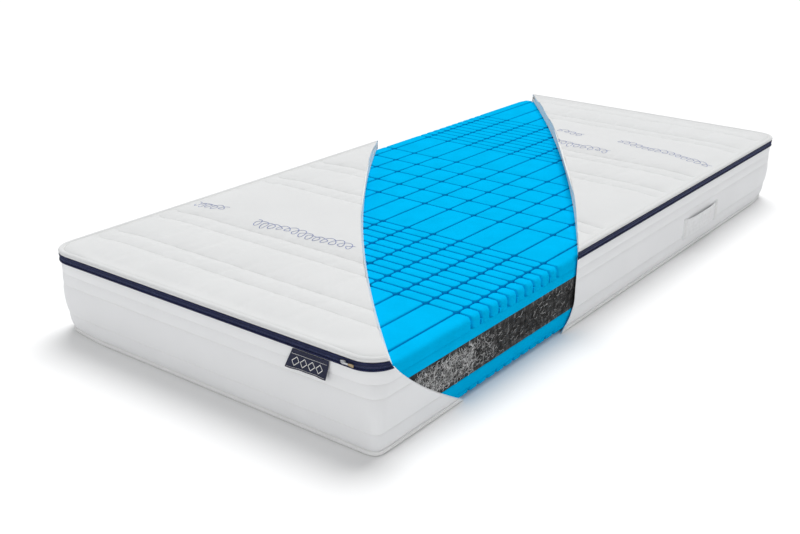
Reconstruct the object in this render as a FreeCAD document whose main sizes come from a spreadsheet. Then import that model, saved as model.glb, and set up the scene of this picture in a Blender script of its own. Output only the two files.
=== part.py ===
"""Single mattress with a zip-off quilted cover, shown with a window cut through the cover.

Frame: +Z up, +Y towards the head end, +X across the width, origin under the middle of the
mattress at floor level. All sizes are in millimetres and live in the Sizes spreadsheet.

The cover is two pieces, a foot piece and a head piece. Between them a leaf-shaped window shows
the core: a slotted foam layer, a fibre pad and a second slotted foam layer. Every ring of the
cover (border, piping, tape, coil, binding) is drawn once round the whole mattress and then
trimmed to the foot piece and to the head piece.
"""
import FreeCAD, Part
import math
import os

import Sketcher

Vector = FreeCAD.Vector

# ---------------------------------------------------------------- driving sizes
SIZES = {
    # whole mattress, over the zip band's piping
    "overall_width": 900,
    "overall_length": 2000,
    "band_corner_radius": 57,
    # cover laminates
    "border_thickness": 6,
    "border_setback": 2,
    "bottom_panel_thickness": 4,
    "ticking_thickness": 1.5,
    "lining_thickness": 1,
    "edge_roll_height": 7,
    "crown_height": 12,
    "crown_run": 140,
    "crown_corner_radius": 20,
    "binding_thickness": 1.8,
    "binding_height": 9,
    "binding_lift": 0.5,
    # zip band
    "piping_size": 4,
    "tape_height": 4.5,
    "tape_thickness": 1.2,
    "tape_setback": 2.5,
    "coil_thickness": 1.6,
    "coil_height": 1.5,
    "coil_gap": 0.1,
    # core
    "core_clearance": 0.5,
    "bottom_foam_height": 42,
    "fibre_pad_height": 75,
    "top_foam_height": 47,
    "shoulder_radius": 10,
    "channel_width": 3.2,
    "channel_pitch": 73.3,
    "channel_depth": 25,
    "minor_channel_depth": 15,
    "notch_depth": 14,
    "minor_notch_depth": 8,
    "block_length": 90,
    "long_block_length": 173,
    "dense_block_length": 33.7,
    "middle_blocks": 2,
    "dense_cuts": 11,
    # window in the cover
    "cut_margin": 10,
    "cut_levels": 8,
    "foot_cut_far": 1178,
    "foot_cut_near": 15,
    "foot_cut_flare": 258,
    "foot_cut_flare_power": 1.4,
    "foot_cut_bow": 50,
    "head_cut_end": 26,
    "head_cut_near": 1302,
    "head_cut_flare": 57,
    "head_cut_flare_height": 70,
    "head_cut_bow": 37,
    # side handles
    "handle_from_end": 566.5,
    "handle_length": 227,
    "handle_height": 48,
    "handle_middle_height": 68,
    "handle_thickness": 2.5,
    "handle_bow": 9,
    "handle_tab_length": 18,
    "handle_tab_height": 56,
    "handle_tab_thickness": 2.8,
    "handle_clearance": 0.3,
    # woven label
    "label_width": 100,
    "label_height": 38,
    "label_thickness": 1,
    "label_from_side": 160,
    "label_clearance": 0.3,
    "label_drop": 1.2,
    # zip slider and its pull
    "slider_from_side": 77,
    "slider_length": 12,
    "slider_height": 7.8,
    "slider_thickness": 1.4,
    "slider_clearance": 0.4,
    "slider_lip_height": 1.6,
    "lug_length": 3,
    "lug_height": 1.2,
    "lug_reach": 3.2,
    "pin_radius": 0.6,
    "pin_stand_off": 2.2,
    "pull_clearance": 0.3,
    "pull_eye_radius": 1.8,
    "pull_neck_length": 4,
    "pull_length": 26,
    "pull_width": 7,
    "pull_thickness": 1.2,
}

doc = FreeCAD.newDocument("mattress")
sheet = doc.addObject("Spreadsheet::Sheet", "Sizes")
for row, (alias, value) in enumerate(SIZES.items(), start=1):
    sheet.set(f"A{row}", alias)
    sheet.set(f"B{row}", str(value))
    sheet.setAlias(f"B{row}", alias)
doc.recompute()


def size(alias):
    """The value of one cell of the sheet."""
    return float(getattr(sheet, alias))


def named(expression):
    """An expression on sizes, with each alias pointed at the sheet."""
    words = []
    for word in expression.split():
        words.append(f"Sizes.{word}" if word in SIZES else word)
    return " ".join(words)


def worked_out(expression):
    """The number that an expression on sizes gives."""
    return float(sheet.evalExpression(named(expression)))


# ---------------------------------------------------------------- levels, bottom to top
FOAM_BASE = "bottom_panel_thickness"
PAD_BASE = FOAM_BASE + " + bottom_foam_height"
TOP_FOAM_BASE = PAD_BASE + " + fibre_pad_height"
CORE_TOP = TOP_FOAM_BASE + " + top_foam_height"
BORDER_TOP = CORE_TOP + " - piping_size"
ZIP_LINE = CORE_TOP + " + tape_height"
UPPER_PIPING_BASE = ZIP_LINE + " + tape_height"
PANEL_EDGE = UPPER_PIPING_BASE + " + piping_size"
ROLL_TOP = PANEL_EDGE + " + edge_roll_height"

# ---------------------------------------------------------------- insets from the band's face
BAND = "0"
BORDER_OUTER = "border_setback"
BORDER_INNER = "border_setback + border_thickness"
CORE_SIDE = BORDER_INNER + " + core_clearance"
PIPING_INNER = "piping_size"
TAPE_OUTER = "tape_setback"
TAPE_INNER = "tape_setback + tape_thickness"
COIL_OUTER = "tape_setback - coil_thickness"
BINDING_OUTER = "border_setback - binding_thickness"
PANEL_OUTER = BORDER_OUTER
WADDING_OUTER = "border_setback + ticking_thickness"

# two heights closer than this are the same level
SAME_LEVEL = 1e-6

sub_parts = []


def keep(thing, label):
    """Names a finished sub-part and lists it for export."""
    thing.Label = label
    sub_parts.append(thing)
    return thing


# ---------------------------------------------------------------- sketch and solid helpers
def rounded_outline(sketch, inset, corner=None):
    """Adds a rounded rectangle, inset from the band's face and parallel to it unless corner is given."""
    corner = named(corner or f"band_corner_radius - ( {inset} )")
    radius = float(sheet.evalExpression(corner))
    half_x = size("overall_width") / 2 - worked_out(inset)
    half_y = size("overall_length") / 2 - worked_out(inset)
    first = sketch.GeometryCount
    corners = [(1, -1, -90), (1, 1, 0), (-1, 1, 90), (-1, -1, 180)]
    sides = [
        ((-half_x + radius, -half_y), (half_x - radius, -half_y)),
        ((half_x, -half_y + radius), (half_x, half_y - radius)),
        ((half_x - radius, half_y), (-half_x + radius, half_y)),
        ((-half_x, half_y - radius), (-half_x, -half_y + radius)),
    ]
    for start, end in sides:
        sketch.addGeometry(Part.LineSegment(Vector(*start), Vector(*end)), False)
    for side_x, side_y, from_angle in corners:
        centre = Vector(side_x * (half_x - radius), side_y * (half_y - radius))
        circle = Part.Circle(centre, Vector(0, 0, 1), radius)
        start = math.radians(from_angle)
        arc = Part.ArcOfCircle(circle, start, start + math.pi / 2)
        sketch.addGeometry(arc, False)

    rules = []
    for turn in range(4):
        line, arc, next_line = first + turn, first + 4 + turn, first + (turn + 1) % 4
        rules.append(Sketcher.Constraint("Tangent", line, 2, arc, 1))
        rules.append(Sketcher.Constraint("Tangent", arc, 2, next_line, 1))
        if turn:
            rules.append(Sketcher.Constraint("Equal", first + 4, arc))
    for step in (0, 2):
        rules.append(Sketcher.Constraint("Horizontal", first + step))
        rules.append(Sketcher.Constraint("Vertical", first + step + 1))
    sketch.addConstraint(rules)

    inset_cells = "(" + named(inset) + ")"
    half_width = f"Sizes.overall_width / 2 - {inset_cells}"
    half_length = f"Sizes.overall_length / 2 - {inset_cells}"
    measured = [
        (Sketcher.Constraint("Radius", first + 4, radius), corner),
        (Sketcher.Constraint("DistanceX", -1, 1, first + 1, 1, half_x), half_width),
        (Sketcher.Constraint("DistanceX", first + 3, 1, -1, 1, half_x), half_width),
        (Sketcher.Constraint("DistanceY", -1, 1, first + 2, 1, half_y), half_length),
        (Sketcher.Constraint("DistanceY", first, 1, -1, 1, half_y), half_length),
    ]
    for constraint, expression in measured:
        index = sketch.addConstraint(constraint)
        sketch.setExpression(f"Constraints[{index}]", expression)


def origin_plane(body, role):
    """One of a body's own origin planes."""
    return next(f for f in body.Origin.OriginFeatures if f.Role == role)


def slab(name, base, height, outer, inner=None):
    """A rounded rectangular plate, or a ring where an inner inset is given too."""
    body = doc.addObject("PartDesign::Body", name)
    sketch = body.newObject("Sketcher::SketchObject", name + "_outline")
    sketch.AttachmentSupport = (origin_plane(body, "XY_Plane"), [""])
    sketch.MapMode = "FlatFace"
    rounded_outline(sketch, outer)
    if inner is not None:
        rounded_outline(sketch, inner)
    pad = body.newObject("PartDesign::Pad", name + "_pad")
    pad.Profile = sketch
    pad.setExpression("Length", named(height))
    body.setExpression("Placement.Base.z", named(base))
    doc.recompute()
    return body


def outline_at(name, level, inset, corner=None):
    """A free sketch of a rounded outline at one level, for a loft."""
    sketch = doc.addObject("Sketcher::SketchObject", name)
    rounded_outline(sketch, inset, corner)
    sketch.setExpression("Placement.Base.z", named(level))
    doc.recompute()
    return sketch


def crowned_panel(name, base, roll_height, top, inset):
    """A panel with an upright rolled edge and a top that rises towards the middle."""
    edge = slab(name + "_edge", base, roll_height, inset)
    low = outline_at(name + "_low", base + " + " + roll_height, inset)
    high = outline_at(name + "_high", top, "crown_run + " + inset, "crown_corner_radius")
    for sketch in (low, high):
        sketch.Visibility = False
    crown = doc.addObject("Part::Loft", name + "_crown")
    crown.Sections = [low, high]
    crown.Solid = True
    crown.Ruled = True
    panel = doc.addObject("Part::Fuse", name)
    panel.Base = edge
    panel.Tool = crown
    doc.recompute()
    return panel


def block(name, length, width, height, place):
    """A Part box. Sizes and the corner's place are expressions on the sheet."""
    box = doc.addObject("Part::Box", name)
    for side, expression in (("Length", length), ("Width", width), ("Height", height)):
        box.setExpression(side, named(expression))
    for axis, expression in zip("xyz", place):
        box.setExpression(f"Placement.Base.{axis}", named(expression))
    return box


def joined(name, things):
    """All the given solids fused into one."""
    fuse = doc.addObject("Part::MultiFuse", name)
    fuse.Shapes = things
    doc.recompute()
    return fuse


def cut(name, base, tool):
    """base with tool taken away."""
    result = doc.addObject("Part::Cut", name)
    result.Base = base
    result.Tool = tool
    doc.recompute()
    return result


def trimmed(name, thing, region):
    """The part of thing that lies in a region of the mattress."""
    common = doc.addObject("Part::Common", name + "_trim")
    common.Base = thing
    common.Tool = region
    doc.recompute()
    return keep(common, name)


# ---------------------------------------------------------------- window cuts
def bowed_edge(start, end, bow):
    """An arc from start to end whose middle is moved sideways, to the right, by bow."""
    along = (end - start).normalize()
    right = Vector(along.y, -along.x, 0)
    middle = (start + end) * 0.5 + right * bow
    return Part.Arc(start, middle, end).toShape()


def closed_wire(first_edge, points):
    """The edge, then straight lines through the points and back to the edge's start."""
    ends = [first_edge.Vertexes[-1].Point] + points + [first_edge.Vertexes[0].Point]
    lines = [Part.makeLine(a, b) for a, b in zip(ends, ends[1:])]
    return Part.Wire([first_edge] + lines)


def cover_top():
    """The height of the cover's fullest point."""
    return worked_out(ROLL_TOP + " + crown_height")


def region_solid(name, wire_at):
    """A region from a wire under the mattress, through wires at several levels, to one over it."""
    margin = size("cut_margin")
    rise = cover_top() + 2 * margin
    steps = int(size("cut_levels")) - 1
    levels = [-margin + rise * step / steps for step in range(steps + 1)]
    region = doc.addObject("Part::Feature", name)
    region.Shape = Part.makeLoft([wire_at(level) for level in levels], True, True)
    doc.recompute()
    return region


def foot_wire(level):
    """The foot piece's outline: the bowed cut, then round outside the foot end.

    The cut's near end runs down the near side in a curve that flattens towards the floor.
    """
    reach_x = size("overall_width") / 2 + size("cut_margin")
    foot_y = -size("overall_length") / 2
    outside_y = foot_y - size("cut_margin")
    below_top = max(0.0, 1 - level / cover_top())
    flare = size("foot_cut_flare") * below_top ** size("foot_cut_flare_power")
    far_point = Vector(-reach_x, foot_y + size("foot_cut_far"), level)
    near_point = Vector(reach_x, foot_y + size("foot_cut_near") + flare, level)
    cut_edge = bowed_edge(far_point, near_point, size("foot_cut_bow"))
    return closed_wire(
        cut_edge, [Vector(reach_x, outside_y, level), Vector(-reach_x, outside_y, level)]
    )


def head_wire(level):
    """The head piece's outline: the bowed cut, then round outside the head end's near corner.

    The cut's near end is upright down to the flare, where it swings towards the foot.
    """
    reach_x = size("overall_width") / 2 + size("cut_margin")
    head_y = size("overall_length") / 2
    outside_y = head_y + size("cut_margin")
    in_flare = max(0.0, 1 - level / size("head_cut_flare_height"))
    near = size("head_cut_near") + size("head_cut_flare") * in_flare**2
    near_point = Vector(reach_x, head_y - near, level)
    end_point = Vector(-size("overall_width") / 2 + size("head_cut_end"), outside_y, level)
    cut_edge = bowed_edge(near_point, end_point, size("head_cut_bow"))
    return closed_wire(cut_edge, [Vector(reach_x, outside_y, level)])


foot_region = region_solid("foot_region", foot_wire)
head_region = region_solid("head_region", head_wire)


def cover_pair(name, thing):
    """The same cover ring or panel, as a foot piece and as a head piece."""
    trimmed("foot_" + name, thing, foot_region)
    trimmed("head_" + name, thing, head_region)


# ---------------------------------------------------------------- lower cover
cover_pair("border", slab("border", "0", BORDER_TOP, BORDER_OUTER, BORDER_INNER))
cover_pair("bottom_panel", slab("bottom_panel", "0", "bottom_panel_thickness", BORDER_INNER))
cover_pair(
    "bottom_binding",
    slab("bottom_binding", "binding_lift", "binding_height", BINDING_OUTER, BORDER_OUTER),
)
cover_pair("lower_piping", slab("lower_piping", BORDER_TOP, "piping_size", BAND, PIPING_INNER))
cover_pair("lower_zip_tape", slab("lower_tape", CORE_TOP, "tape_height", TAPE_OUTER, TAPE_INNER))
cover_pair(
    "lower_zip_coil",
    slab("lower_coil", ZIP_LINE + " - coil_gap - coil_height", "coil_height", COIL_OUTER, TAPE_OUTER),
)

# ---------------------------------------------------------------- top cover
cover_pair(
    "upper_zip_coil",
    slab("upper_coil", ZIP_LINE + " + coil_gap", "coil_height", COIL_OUTER, TAPE_OUTER),
)
cover_pair("upper_zip_tape", slab("upper_tape", ZIP_LINE, "tape_height", TAPE_OUTER, TAPE_INNER))
cover_pair(
    "upper_piping", slab("upper_piping", UPPER_PIPING_BASE, "piping_size", BAND, PIPING_INNER)
)
cover_pair("top_lining", slab("lining", CORE_TOP, "lining_thickness", CORE_SIDE))

outer_panel = crowned_panel(
    "outer_panel", PANEL_EDGE, "edge_roll_height", ROLL_TOP + " + crown_height", PANEL_OUTER
)
inner_panel = crowned_panel(
    "inner_panel",
    PANEL_EDGE,
    "edge_roll_height - ticking_thickness",
    ROLL_TOP + " + crown_height - ticking_thickness",
    WADDING_OUTER,
)
wadding_foot = slab(
    "wadding_under_edge",
    CORE_TOP + " + lining_thickness",
    "tape_height + tape_height + piping_size - lining_thickness",
    CORE_SIDE,
)
cover_pair("top_ticking", cut("ticking", outer_panel, inner_panel))
cover_pair("top_wadding", joined("wadding", [inner_panel, wadding_foot]))


# ---------------------------------------------------------------- core
def transverse_cuts():
    """(name, distance from the middle as an expression, shallow or not) of each cut across the foam."""
    cuts = [("middle", "0", False)]
    for step in range(1, int(size("middle_blocks")) + 1):
        cuts.append((f"block{step}", f"{step} * block_length", False))
    long_block_end = "middle_blocks * block_length + long_block_length"
    for step in range(int(size("dense_cuts"))):
        place = f"{long_block_end} + {step} * dense_block_length"
        cuts.append((f"dense{step}", place, step % 2 == 1))
    both = []
    for name, place, shallow in cuts:
        both.append((name + "_head", place, shallow))
        if place != "0":
            negative = "0 - ( " + place + " )"
            both.append((name + "_foot", negative, shallow))
    return both


def slotted(name, foam, face, depth, shallow_depth, from_above):
    """A foam layer with channels cut along and across one of its faces."""
    margin = "cut_margin"

    def level(deep):
        return f"{face} - {deep}" if from_above else f"{face} - {margin}"

    along = []
    half_core = size("overall_width") / 2 - worked_out(CORE_SIDE)
    for column in range(int(half_core / size("channel_pitch") + 0.5)):
        for side in (1, -1):
            middle = f"{side * (column + 0.5)} * channel_pitch"
            along.append(
                block(
                    f"{name}_along_{column}_{'near' if side > 0 else 'far'}",
                    "channel_width",
                    "overall_length + 2 * cut_margin",
                    f"{depth} + {margin}",
                    (
                        f"{middle} - channel_width / 2",
                        "0 - overall_length / 2 - cut_margin",
                        level(depth),
                    ),
                )
            )
    across = []
    for label, place, shallow in transverse_cuts():
        deep = shallow_depth if shallow else depth
        across.append(
            block(
                f"{name}_across_{label}",
                "overall_width + 2 * cut_margin",
                "channel_width",
                f"{deep} + {margin}",
                (
                    "0 - overall_width / 2 - cut_margin",
                    f"{place} - channel_width / 2",
                    level(deep),
                ),
            )
        )
    result = foam
    for group, blocks in (("along", along), ("across", across)):
        tool = doc.addObject("Part::Compound", f"{name}_{group}")
        tool.Links = blocks
        result = cut(f"{name}_cut_{group}", result, tool)
    return keep(result, name)


def foam_slab(name, base, height, rounded_level):
    """A foam layer whose outer edge is rounded at one level of its own, low or high."""
    body = slab(name, base, height, CORE_SIDE)
    pad = body.Tip
    edges = []
    for index, edge in enumerate(pad.Shape.Edges, start=1):
        if all(abs(vertex.Z - rounded_level) < SAME_LEVEL for vertex in edge.Vertexes):
            edges.append(f"Edge{index}")
    fillet = body.newObject("PartDesign::Fillet", name + "_shoulder")
    fillet.Base = (pad, edges)
    fillet.setExpression("Radius", named("shoulder_radius"))
    doc.recompute()
    return body


top_slab = foam_slab("top_slab", TOP_FOAM_BASE, "top_foam_height", size("top_foam_height"))
slotted("top_foam", top_slab, CORE_TOP, "channel_depth", "minor_channel_depth", True)
keep(slab("pad", PAD_BASE, "fibre_pad_height", CORE_SIDE), "fibre_pad")
bottom_slab = foam_slab("bottom_slab", FOAM_BASE, "bottom_foam_height", 0.0)
slotted("bottom_foam", bottom_slab, FOAM_BASE, "notch_depth", "minor_notch_depth", False)


# ---------------------------------------------------------------- handles
def handle(prefix, side, end):
    """A webbing handle and its two stitched tabs. side is the sign of X, end the sign of Y."""
    border_face = f"overall_width / 2 - {BORDER_OUTER}"
    middle_y = f"{end} * ( overall_length / 2 - handle_from_end )"
    tab_base = "handle_middle_height - handle_tab_height / 2"
    tab_x = border_face if side > 0 else f"0 - ( {border_face} ) - handle_tab_thickness"
    tabs = []
    for name, place in (
        ("front", f"{middle_y} - handle_length / 2"),
        ("back", f"{middle_y} + handle_length / 2 - handle_tab_length"),
    ):
        tabs.append(
            block(
                f"{prefix}_tab_{name}",
                "handle_tab_thickness",
                "handle_tab_length",
                "handle_tab_height",
                (tab_x, place, tab_base),
            )
        )
    pair = doc.addObject("Part::Compound", prefix + "_tabs")
    pair.Links = tabs
    keep(pair, prefix + "_handle_tabs")

    strap = doc.addObject("Part::Feature", prefix + "_strap")
    reach = size("handle_length") / 2 - size("handle_tab_length") - size("handle_clearance")
    inner = size("overall_width") / 2 - size("border_setback") + size("handle_clearance")
    outer = inner + size("handle_thickness")
    bow = size("handle_bow")
    inner_arc = Part.Arc(Vector(inner, -reach), Vector(inner + bow, 0), Vector(inner, reach))
    outer_arc = Part.Arc(Vector(outer, reach), Vector(outer + bow, 0), Vector(outer, -reach))
    edges = [
        inner_arc.toShape(),
        Part.makeLine(Vector(inner, reach), Vector(outer, reach)),
        outer_arc.toShape(),
        Part.makeLine(Vector(outer, -reach), Vector(inner, -reach)),
    ]
    profile = Part.Face(Part.Wire(edges))
    shape = profile.extrude(Vector(0, 0, size("handle_height")))
    if side < 0:
        shape = shape.mirror(Vector(0, 0, 0), Vector(1, 0, 0))
    strap.Shape = shape
    strap.setExpression("Placement.Base.y", named(middle_y))
    strap.setExpression("Placement.Base.z", named("handle_middle_height - handle_height / 2"))
    keep(strap, prefix + "_handle_strap")


handle("near", 1, 1)
handle("far", -1, -1)

# ---------------------------------------------------------------- label
keep(
    block(
        "label_block",
        "label_width",
        "label_thickness",
        "label_height",
        (
            "overall_width / 2 - label_from_side - label_width / 2",
            "0 - overall_length / 2 + border_setback - label_clearance - label_thickness",
            BORDER_TOP + " - label_drop - label_height",
        ),
    ),
    "woven_label",
)

# ---------------------------------------------------------------- zip slider and pull
COIL_FACE = "0 - overall_length / 2 + tape_setback - coil_thickness"
PLATE_BACK = COIL_FACE + " - slider_clearance"
PLATE_FACE = PLATE_BACK + " - slider_thickness"
PIN_LINE = PLATE_FACE + " - pin_stand_off"
SLIDER_BASE = ZIP_LINE + " - slider_height / 2"
PULL_BASE = ZIP_LINE + " - pull_width / 2"
SLIDER_MIDDLE = "overall_width / 2 - slider_from_side"
# the pull's eye sits between the two lugs
LOW_LUG_TOP = ZIP_LINE + " - slider_height / 4"
HIGH_LUG_BASE = ZIP_LINE + " + slider_height / 4"
EYE_BASE = LOW_LUG_TOP + " + pull_clearance"
EYE_HEIGHT = "slider_height / 2 - 2 * pull_clearance"


def cylinder(name, radius, height, place):
    """An upright Part cylinder. Sizes and place are expressions on the sheet."""
    rod = doc.addObject("Part::Cylinder", name)
    rod.setExpression("Radius", named(radius))
    rod.setExpression("Height", named(height))
    for axis, expression in zip("xyz", place):
        rod.setExpression(f"Placement.Base.{axis}", named(expression))
    return rod


plate = block(
    "slider_plate",
    "slider_length",
    "slider_thickness",
    "slider_height",
    (SLIDER_MIDDLE + " - slider_length / 2", PLATE_FACE, SLIDER_BASE),
)
lip = block(
    "slider_lip",
    "slider_length",
    "coil_thickness",
    "slider_lip_height",
    (SLIDER_MIDDLE + " - slider_length / 2", PLATE_BACK, SLIDER_BASE),
)
lugs = []
for lug_name, lug_base in (
    ("low", LOW_LUG_TOP + " - lug_height"),
    ("high", HIGH_LUG_BASE),
):
    lugs.append(
        block(
            f"slider_lug_{lug_name}",
            "lug_length",
            "lug_reach",
            "lug_height",
            (SLIDER_MIDDLE + " - lug_length / 2", PLATE_FACE + " - lug_reach", lug_base),
        )
    )
pin = cylinder(
    "slider_pin",
    "pin_radius",
    "slider_height / 2 + lug_height",
    (SLIDER_MIDDLE, PIN_LINE, LOW_LUG_TOP + " - lug_height / 2"),
)
keep(joined("slider", [plate, lip, pin] + lugs), "zip_slider")

eye = cylinder(
    "pull_eye",
    "pull_eye_radius",
    EYE_HEIGHT,
    (SLIDER_MIDDLE, PIN_LINE, EYE_BASE),
)
neck = block(
    "pull_neck",
    "pull_neck_length",
    "pull_thickness",
    EYE_HEIGHT,
    (SLIDER_MIDDLE, PIN_LINE + " - pull_thickness / 2", EYE_BASE),
)
blade = block(
    "pull_blade",
    "pull_length - pull_neck_length",
    "pull_thickness",
    "pull_width",
    (SLIDER_MIDDLE + " + pull_neck_length", PIN_LINE + " - pull_thickness / 2", PULL_BASE),
)
eye_hole = cylinder(
    "pull_eye_hole",
    "pin_radius + pull_clearance",
    "slider_height",
    (SLIDER_MIDDLE, PIN_LINE, SLIDER_BASE),
)
keep(cut("pull", joined("pull_blank", [eye, neck, blade]), eye_hole), "zip_pull")

# ---------------------------------------------------------------- check and export
doc.recompute()
for thing in doc.Objects:
    if "Invalid" in thing.State or "Error" in thing.State:
        raise RuntimeError(f"{thing.Name} failed: {thing.State}")

os.makedirs("parts", exist_ok=True)
for thing in sub_parts:
    shape = thing.Shape
    if shape.isNull() or not shape.isValid() or not shape.Solids:
        raise RuntimeError(f"{thing.Label} has no valid solid")
for thing in sub_parts:
    thing.Shape.exportStep(os.path.join("parts", thing.Label + ".step"))
    box = thing.Shape.BoundBox
    print(
        f"{thing.Label:22s} {len(thing.Shape.Solids)} solid(s)"
        f"  x {box.XMin:8.1f} {box.XMax:8.1f}"
        f"  y {box.YMin:8.1f} {box.YMax:8.1f}"
        f"  z {box.ZMin:7.1f} {box.ZMax:7.1f}"
    )
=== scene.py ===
"""Looks of a single mattress with a zip-off quilted cover and a window cut through the cover."""
import contextlib
import math

import bmesh
import bpy
import numpy as np
from mathutils import Matrix, Vector, noise


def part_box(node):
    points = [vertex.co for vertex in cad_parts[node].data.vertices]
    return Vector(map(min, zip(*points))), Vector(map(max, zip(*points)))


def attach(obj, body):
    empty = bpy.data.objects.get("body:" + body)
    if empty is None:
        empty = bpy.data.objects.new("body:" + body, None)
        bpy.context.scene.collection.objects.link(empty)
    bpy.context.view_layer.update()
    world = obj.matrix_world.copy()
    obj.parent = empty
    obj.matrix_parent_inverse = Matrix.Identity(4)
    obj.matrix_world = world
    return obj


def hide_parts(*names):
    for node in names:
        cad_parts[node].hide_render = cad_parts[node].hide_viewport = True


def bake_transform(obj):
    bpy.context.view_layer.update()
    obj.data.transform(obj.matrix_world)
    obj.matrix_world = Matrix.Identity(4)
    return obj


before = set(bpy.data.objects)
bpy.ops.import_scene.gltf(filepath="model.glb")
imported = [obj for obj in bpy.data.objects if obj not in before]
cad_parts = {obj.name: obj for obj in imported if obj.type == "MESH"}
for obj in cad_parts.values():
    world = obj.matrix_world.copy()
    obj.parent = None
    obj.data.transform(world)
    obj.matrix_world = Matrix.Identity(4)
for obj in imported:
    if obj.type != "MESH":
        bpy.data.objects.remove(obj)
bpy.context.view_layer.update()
MM = 0.001

# ------------------------------------------------------------------ places read from the frame
HALF_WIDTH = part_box("head_lower_piping")[1].x
HALF_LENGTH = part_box("head_lower_piping")[1].y
BORDER_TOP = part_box("foot_border")[1].z
CORE_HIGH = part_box("top_foam")[1]
CORE_TOP = CORE_HIGH.z
PAD_LOW, PAD_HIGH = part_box("fibre_pad")
ZIP_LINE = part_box("foot_lower_zip_tape")[1].z
PANEL_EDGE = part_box("foot_upper_piping")[1].z
CROWN_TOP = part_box("foot_top_ticking")[1].z

# ------------------------------------------------------------------ the cover's own sizes
BAND_CORNER = 57 * MM
CROWN_RUN = 140 * MM
CROWN_HEIGHT = 10.5 * MM
BORDER_SEAMS = (44 * MM, 112 * MM, 138 * MM)
QUILT_FIRST = 147 * MM
QUILT_PITCH = 178 * MM
QUILT_PAIR = 53 * MM
QUILT_DEPTH = 11.5 * MM
# lower corners: how far they are drawn in, over what run along each side, and up to what height
TUCK = 18 * MM
TUCK_RUN = 160 * MM
TUCK_TOP = 110 * MM
POINTED_TOP = 155 * MM
# the lower edge leans in below this height
LEAN_TOP = 30 * MM
# the window's cuts: reach of each piece at either side, flare towards the floor, and bow
FOOT_NEAR, FOOT_FAR, FOOT_FLARE, FOOT_BOW = 0.015, 1.178, 0.258, 0.050
HEAD_NEAR, HEAD_FLARE, HEAD_FLARE_TOP, HEAD_BOW = 1.302, 0.057, 0.070, 0.037
TOP_LEVEL, BOTTOM_LEVEL = 0.19, 0.0
# thickness of each cloth, how far the padding lies under the ticking, and the panel's mesh step
TICKING_THICK, LINING_THICK, BOTTOM_THICK = 1.3 * MM, 0.8 * MM, 2.8 * MM
PADDING_SINK = 2.4 * MM
PANEL_STEP = 7 * MM
# stitches stop this far from the window's edge, and rows of coil this far
STITCH_MARGIN, COIL_MARGIN = 4 * MM, 1.2 * MM


def linked(name, data):
    """An object with that data, in the scene."""
    made = bpy.data.objects.new(name, data)
    bpy.context.scene.collection.objects.link(made)
    return made


def place_camera():
    """Stands off the near foot corner, a little above the mattress, and looks along it."""
    yaw, pitch, roll = 0.633595, 0.376516, 0.0176154
    ahead = Vector((-math.sin(yaw) * math.cos(pitch), math.cos(yaw) * math.cos(pitch), -math.sin(pitch)))
    right = ahead.cross(Vector((0, 0, 1))).normalized()
    up = right.cross(ahead)
    across = right * math.cos(roll) + up * math.sin(roll)
    upward = up * math.cos(roll) - right * math.sin(roll)
    turn = Matrix((across, upward, -ahead)).transposed()
    optics = bpy.data.cameras.new("camera")
    optics.sensor_width = 36
    optics.lens = 49.47
    optics.clip_end = 60
    camera = linked("camera", optics)
    camera.matrix_world = Matrix.Translation((1.46875, -2.32914, 1.03186)) @ turn.to_4x4()
    bpy.context.scene.camera = camera


place_camera()


# ------------------------------------------------------------------ small mathematics
def spaced(start, end, step):
    """Evenly spaced values from start to end, about step apart."""
    return np.linspace(start, end, max(2, round(abs(end - start) / step) + 1))


def smooth(t):
    """0 below 0, 1 above 1, and a smooth step between."""
    t = np.clip(t, 0, 1)
    return t * t * (3 - 2 * t)


def ripple(points, size, seed):
    """Smooth noise, about -1 to 1, at each point, with features of that size."""
    shift = Vector((seed * 17.3, seed * 5.1, seed * 11.7))
    return np.array([noise.noise(Vector(p) / size + shift) for p in points])


def in_field(bounds, at):
    """Which stretch between bounds each place lies in, its length, and the share of the way along."""
    field = np.clip(np.searchsorted(bounds, at) - 1, 0, len(bounds) - 2)
    length = bounds[field + 1] - bounds[field]
    return field, length, np.clip((at - bounds[field]) / length, 0, 1)


def thinned(rows, gap, low, high):
    """Rows from low to high in order, each more than gap(row) past the one before."""
    rows = sorted(row for row in rows if low <= row <= high)
    kept = [rows[0]]
    for row in rows[1:]:
        if row - kept[-1] > gap(row):
            kept.append(row)
    kept[-1] = high
    return kept


def on_side(run, z):
    """Places for noise on an upright face: the distance round the mattress, and a height."""
    return np.column_stack([run, np.full_like(run, z), np.zeros_like(run)])


# ------------------------------------------------------------------ columns round the mattress
class Columns:
    """Upright columns round the mattress, from the far side past the foot to the head end.

    A column stands on the rectangle that the corner arcs are centred on and looks outwards.
    """

    def __init__(self, xs, ys, corner_steps=10):
        half_x, half_y = HALF_WIDTH - BAND_CORNER, HALF_LENGTH - BAND_CORNER
        sides = (
            ([(-half_x, y) for y in ys[::-1]], 180),
            ([(x, -half_y) for x in xs], 270),
            ([(half_x, y) for y in ys], 360),
            ([(x, half_y) for x in xs[::-1]], 450),
        )
        stand, angle = [], []
        for points, facing in sides:
            stand += points
            angle += [facing] * len(points)
            for step in range(1, corner_steps):
                stand.append(points[-1])
                angle.append(facing + 90 * step / corner_steps)
        angle = np.radians(angle)
        self.stand = np.array(stand)
        self.look = np.stack([np.cos(angle), np.sin(angle)], axis=1)
        edge = self.at(0.0)
        self.run = np.concatenate([[0], np.cumsum(np.linalg.norm(np.diff(edge, axis=0), axis=1))])

    def at(self, inset):
        """The columns' places in plan at an inset from the band's face."""
        inset = np.asarray(inset, float)
        reach = (BAND_CORNER - inset)[..., None] if inset.ndim else BAND_CORNER - inset
        return self.stand + self.look * reach


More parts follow.
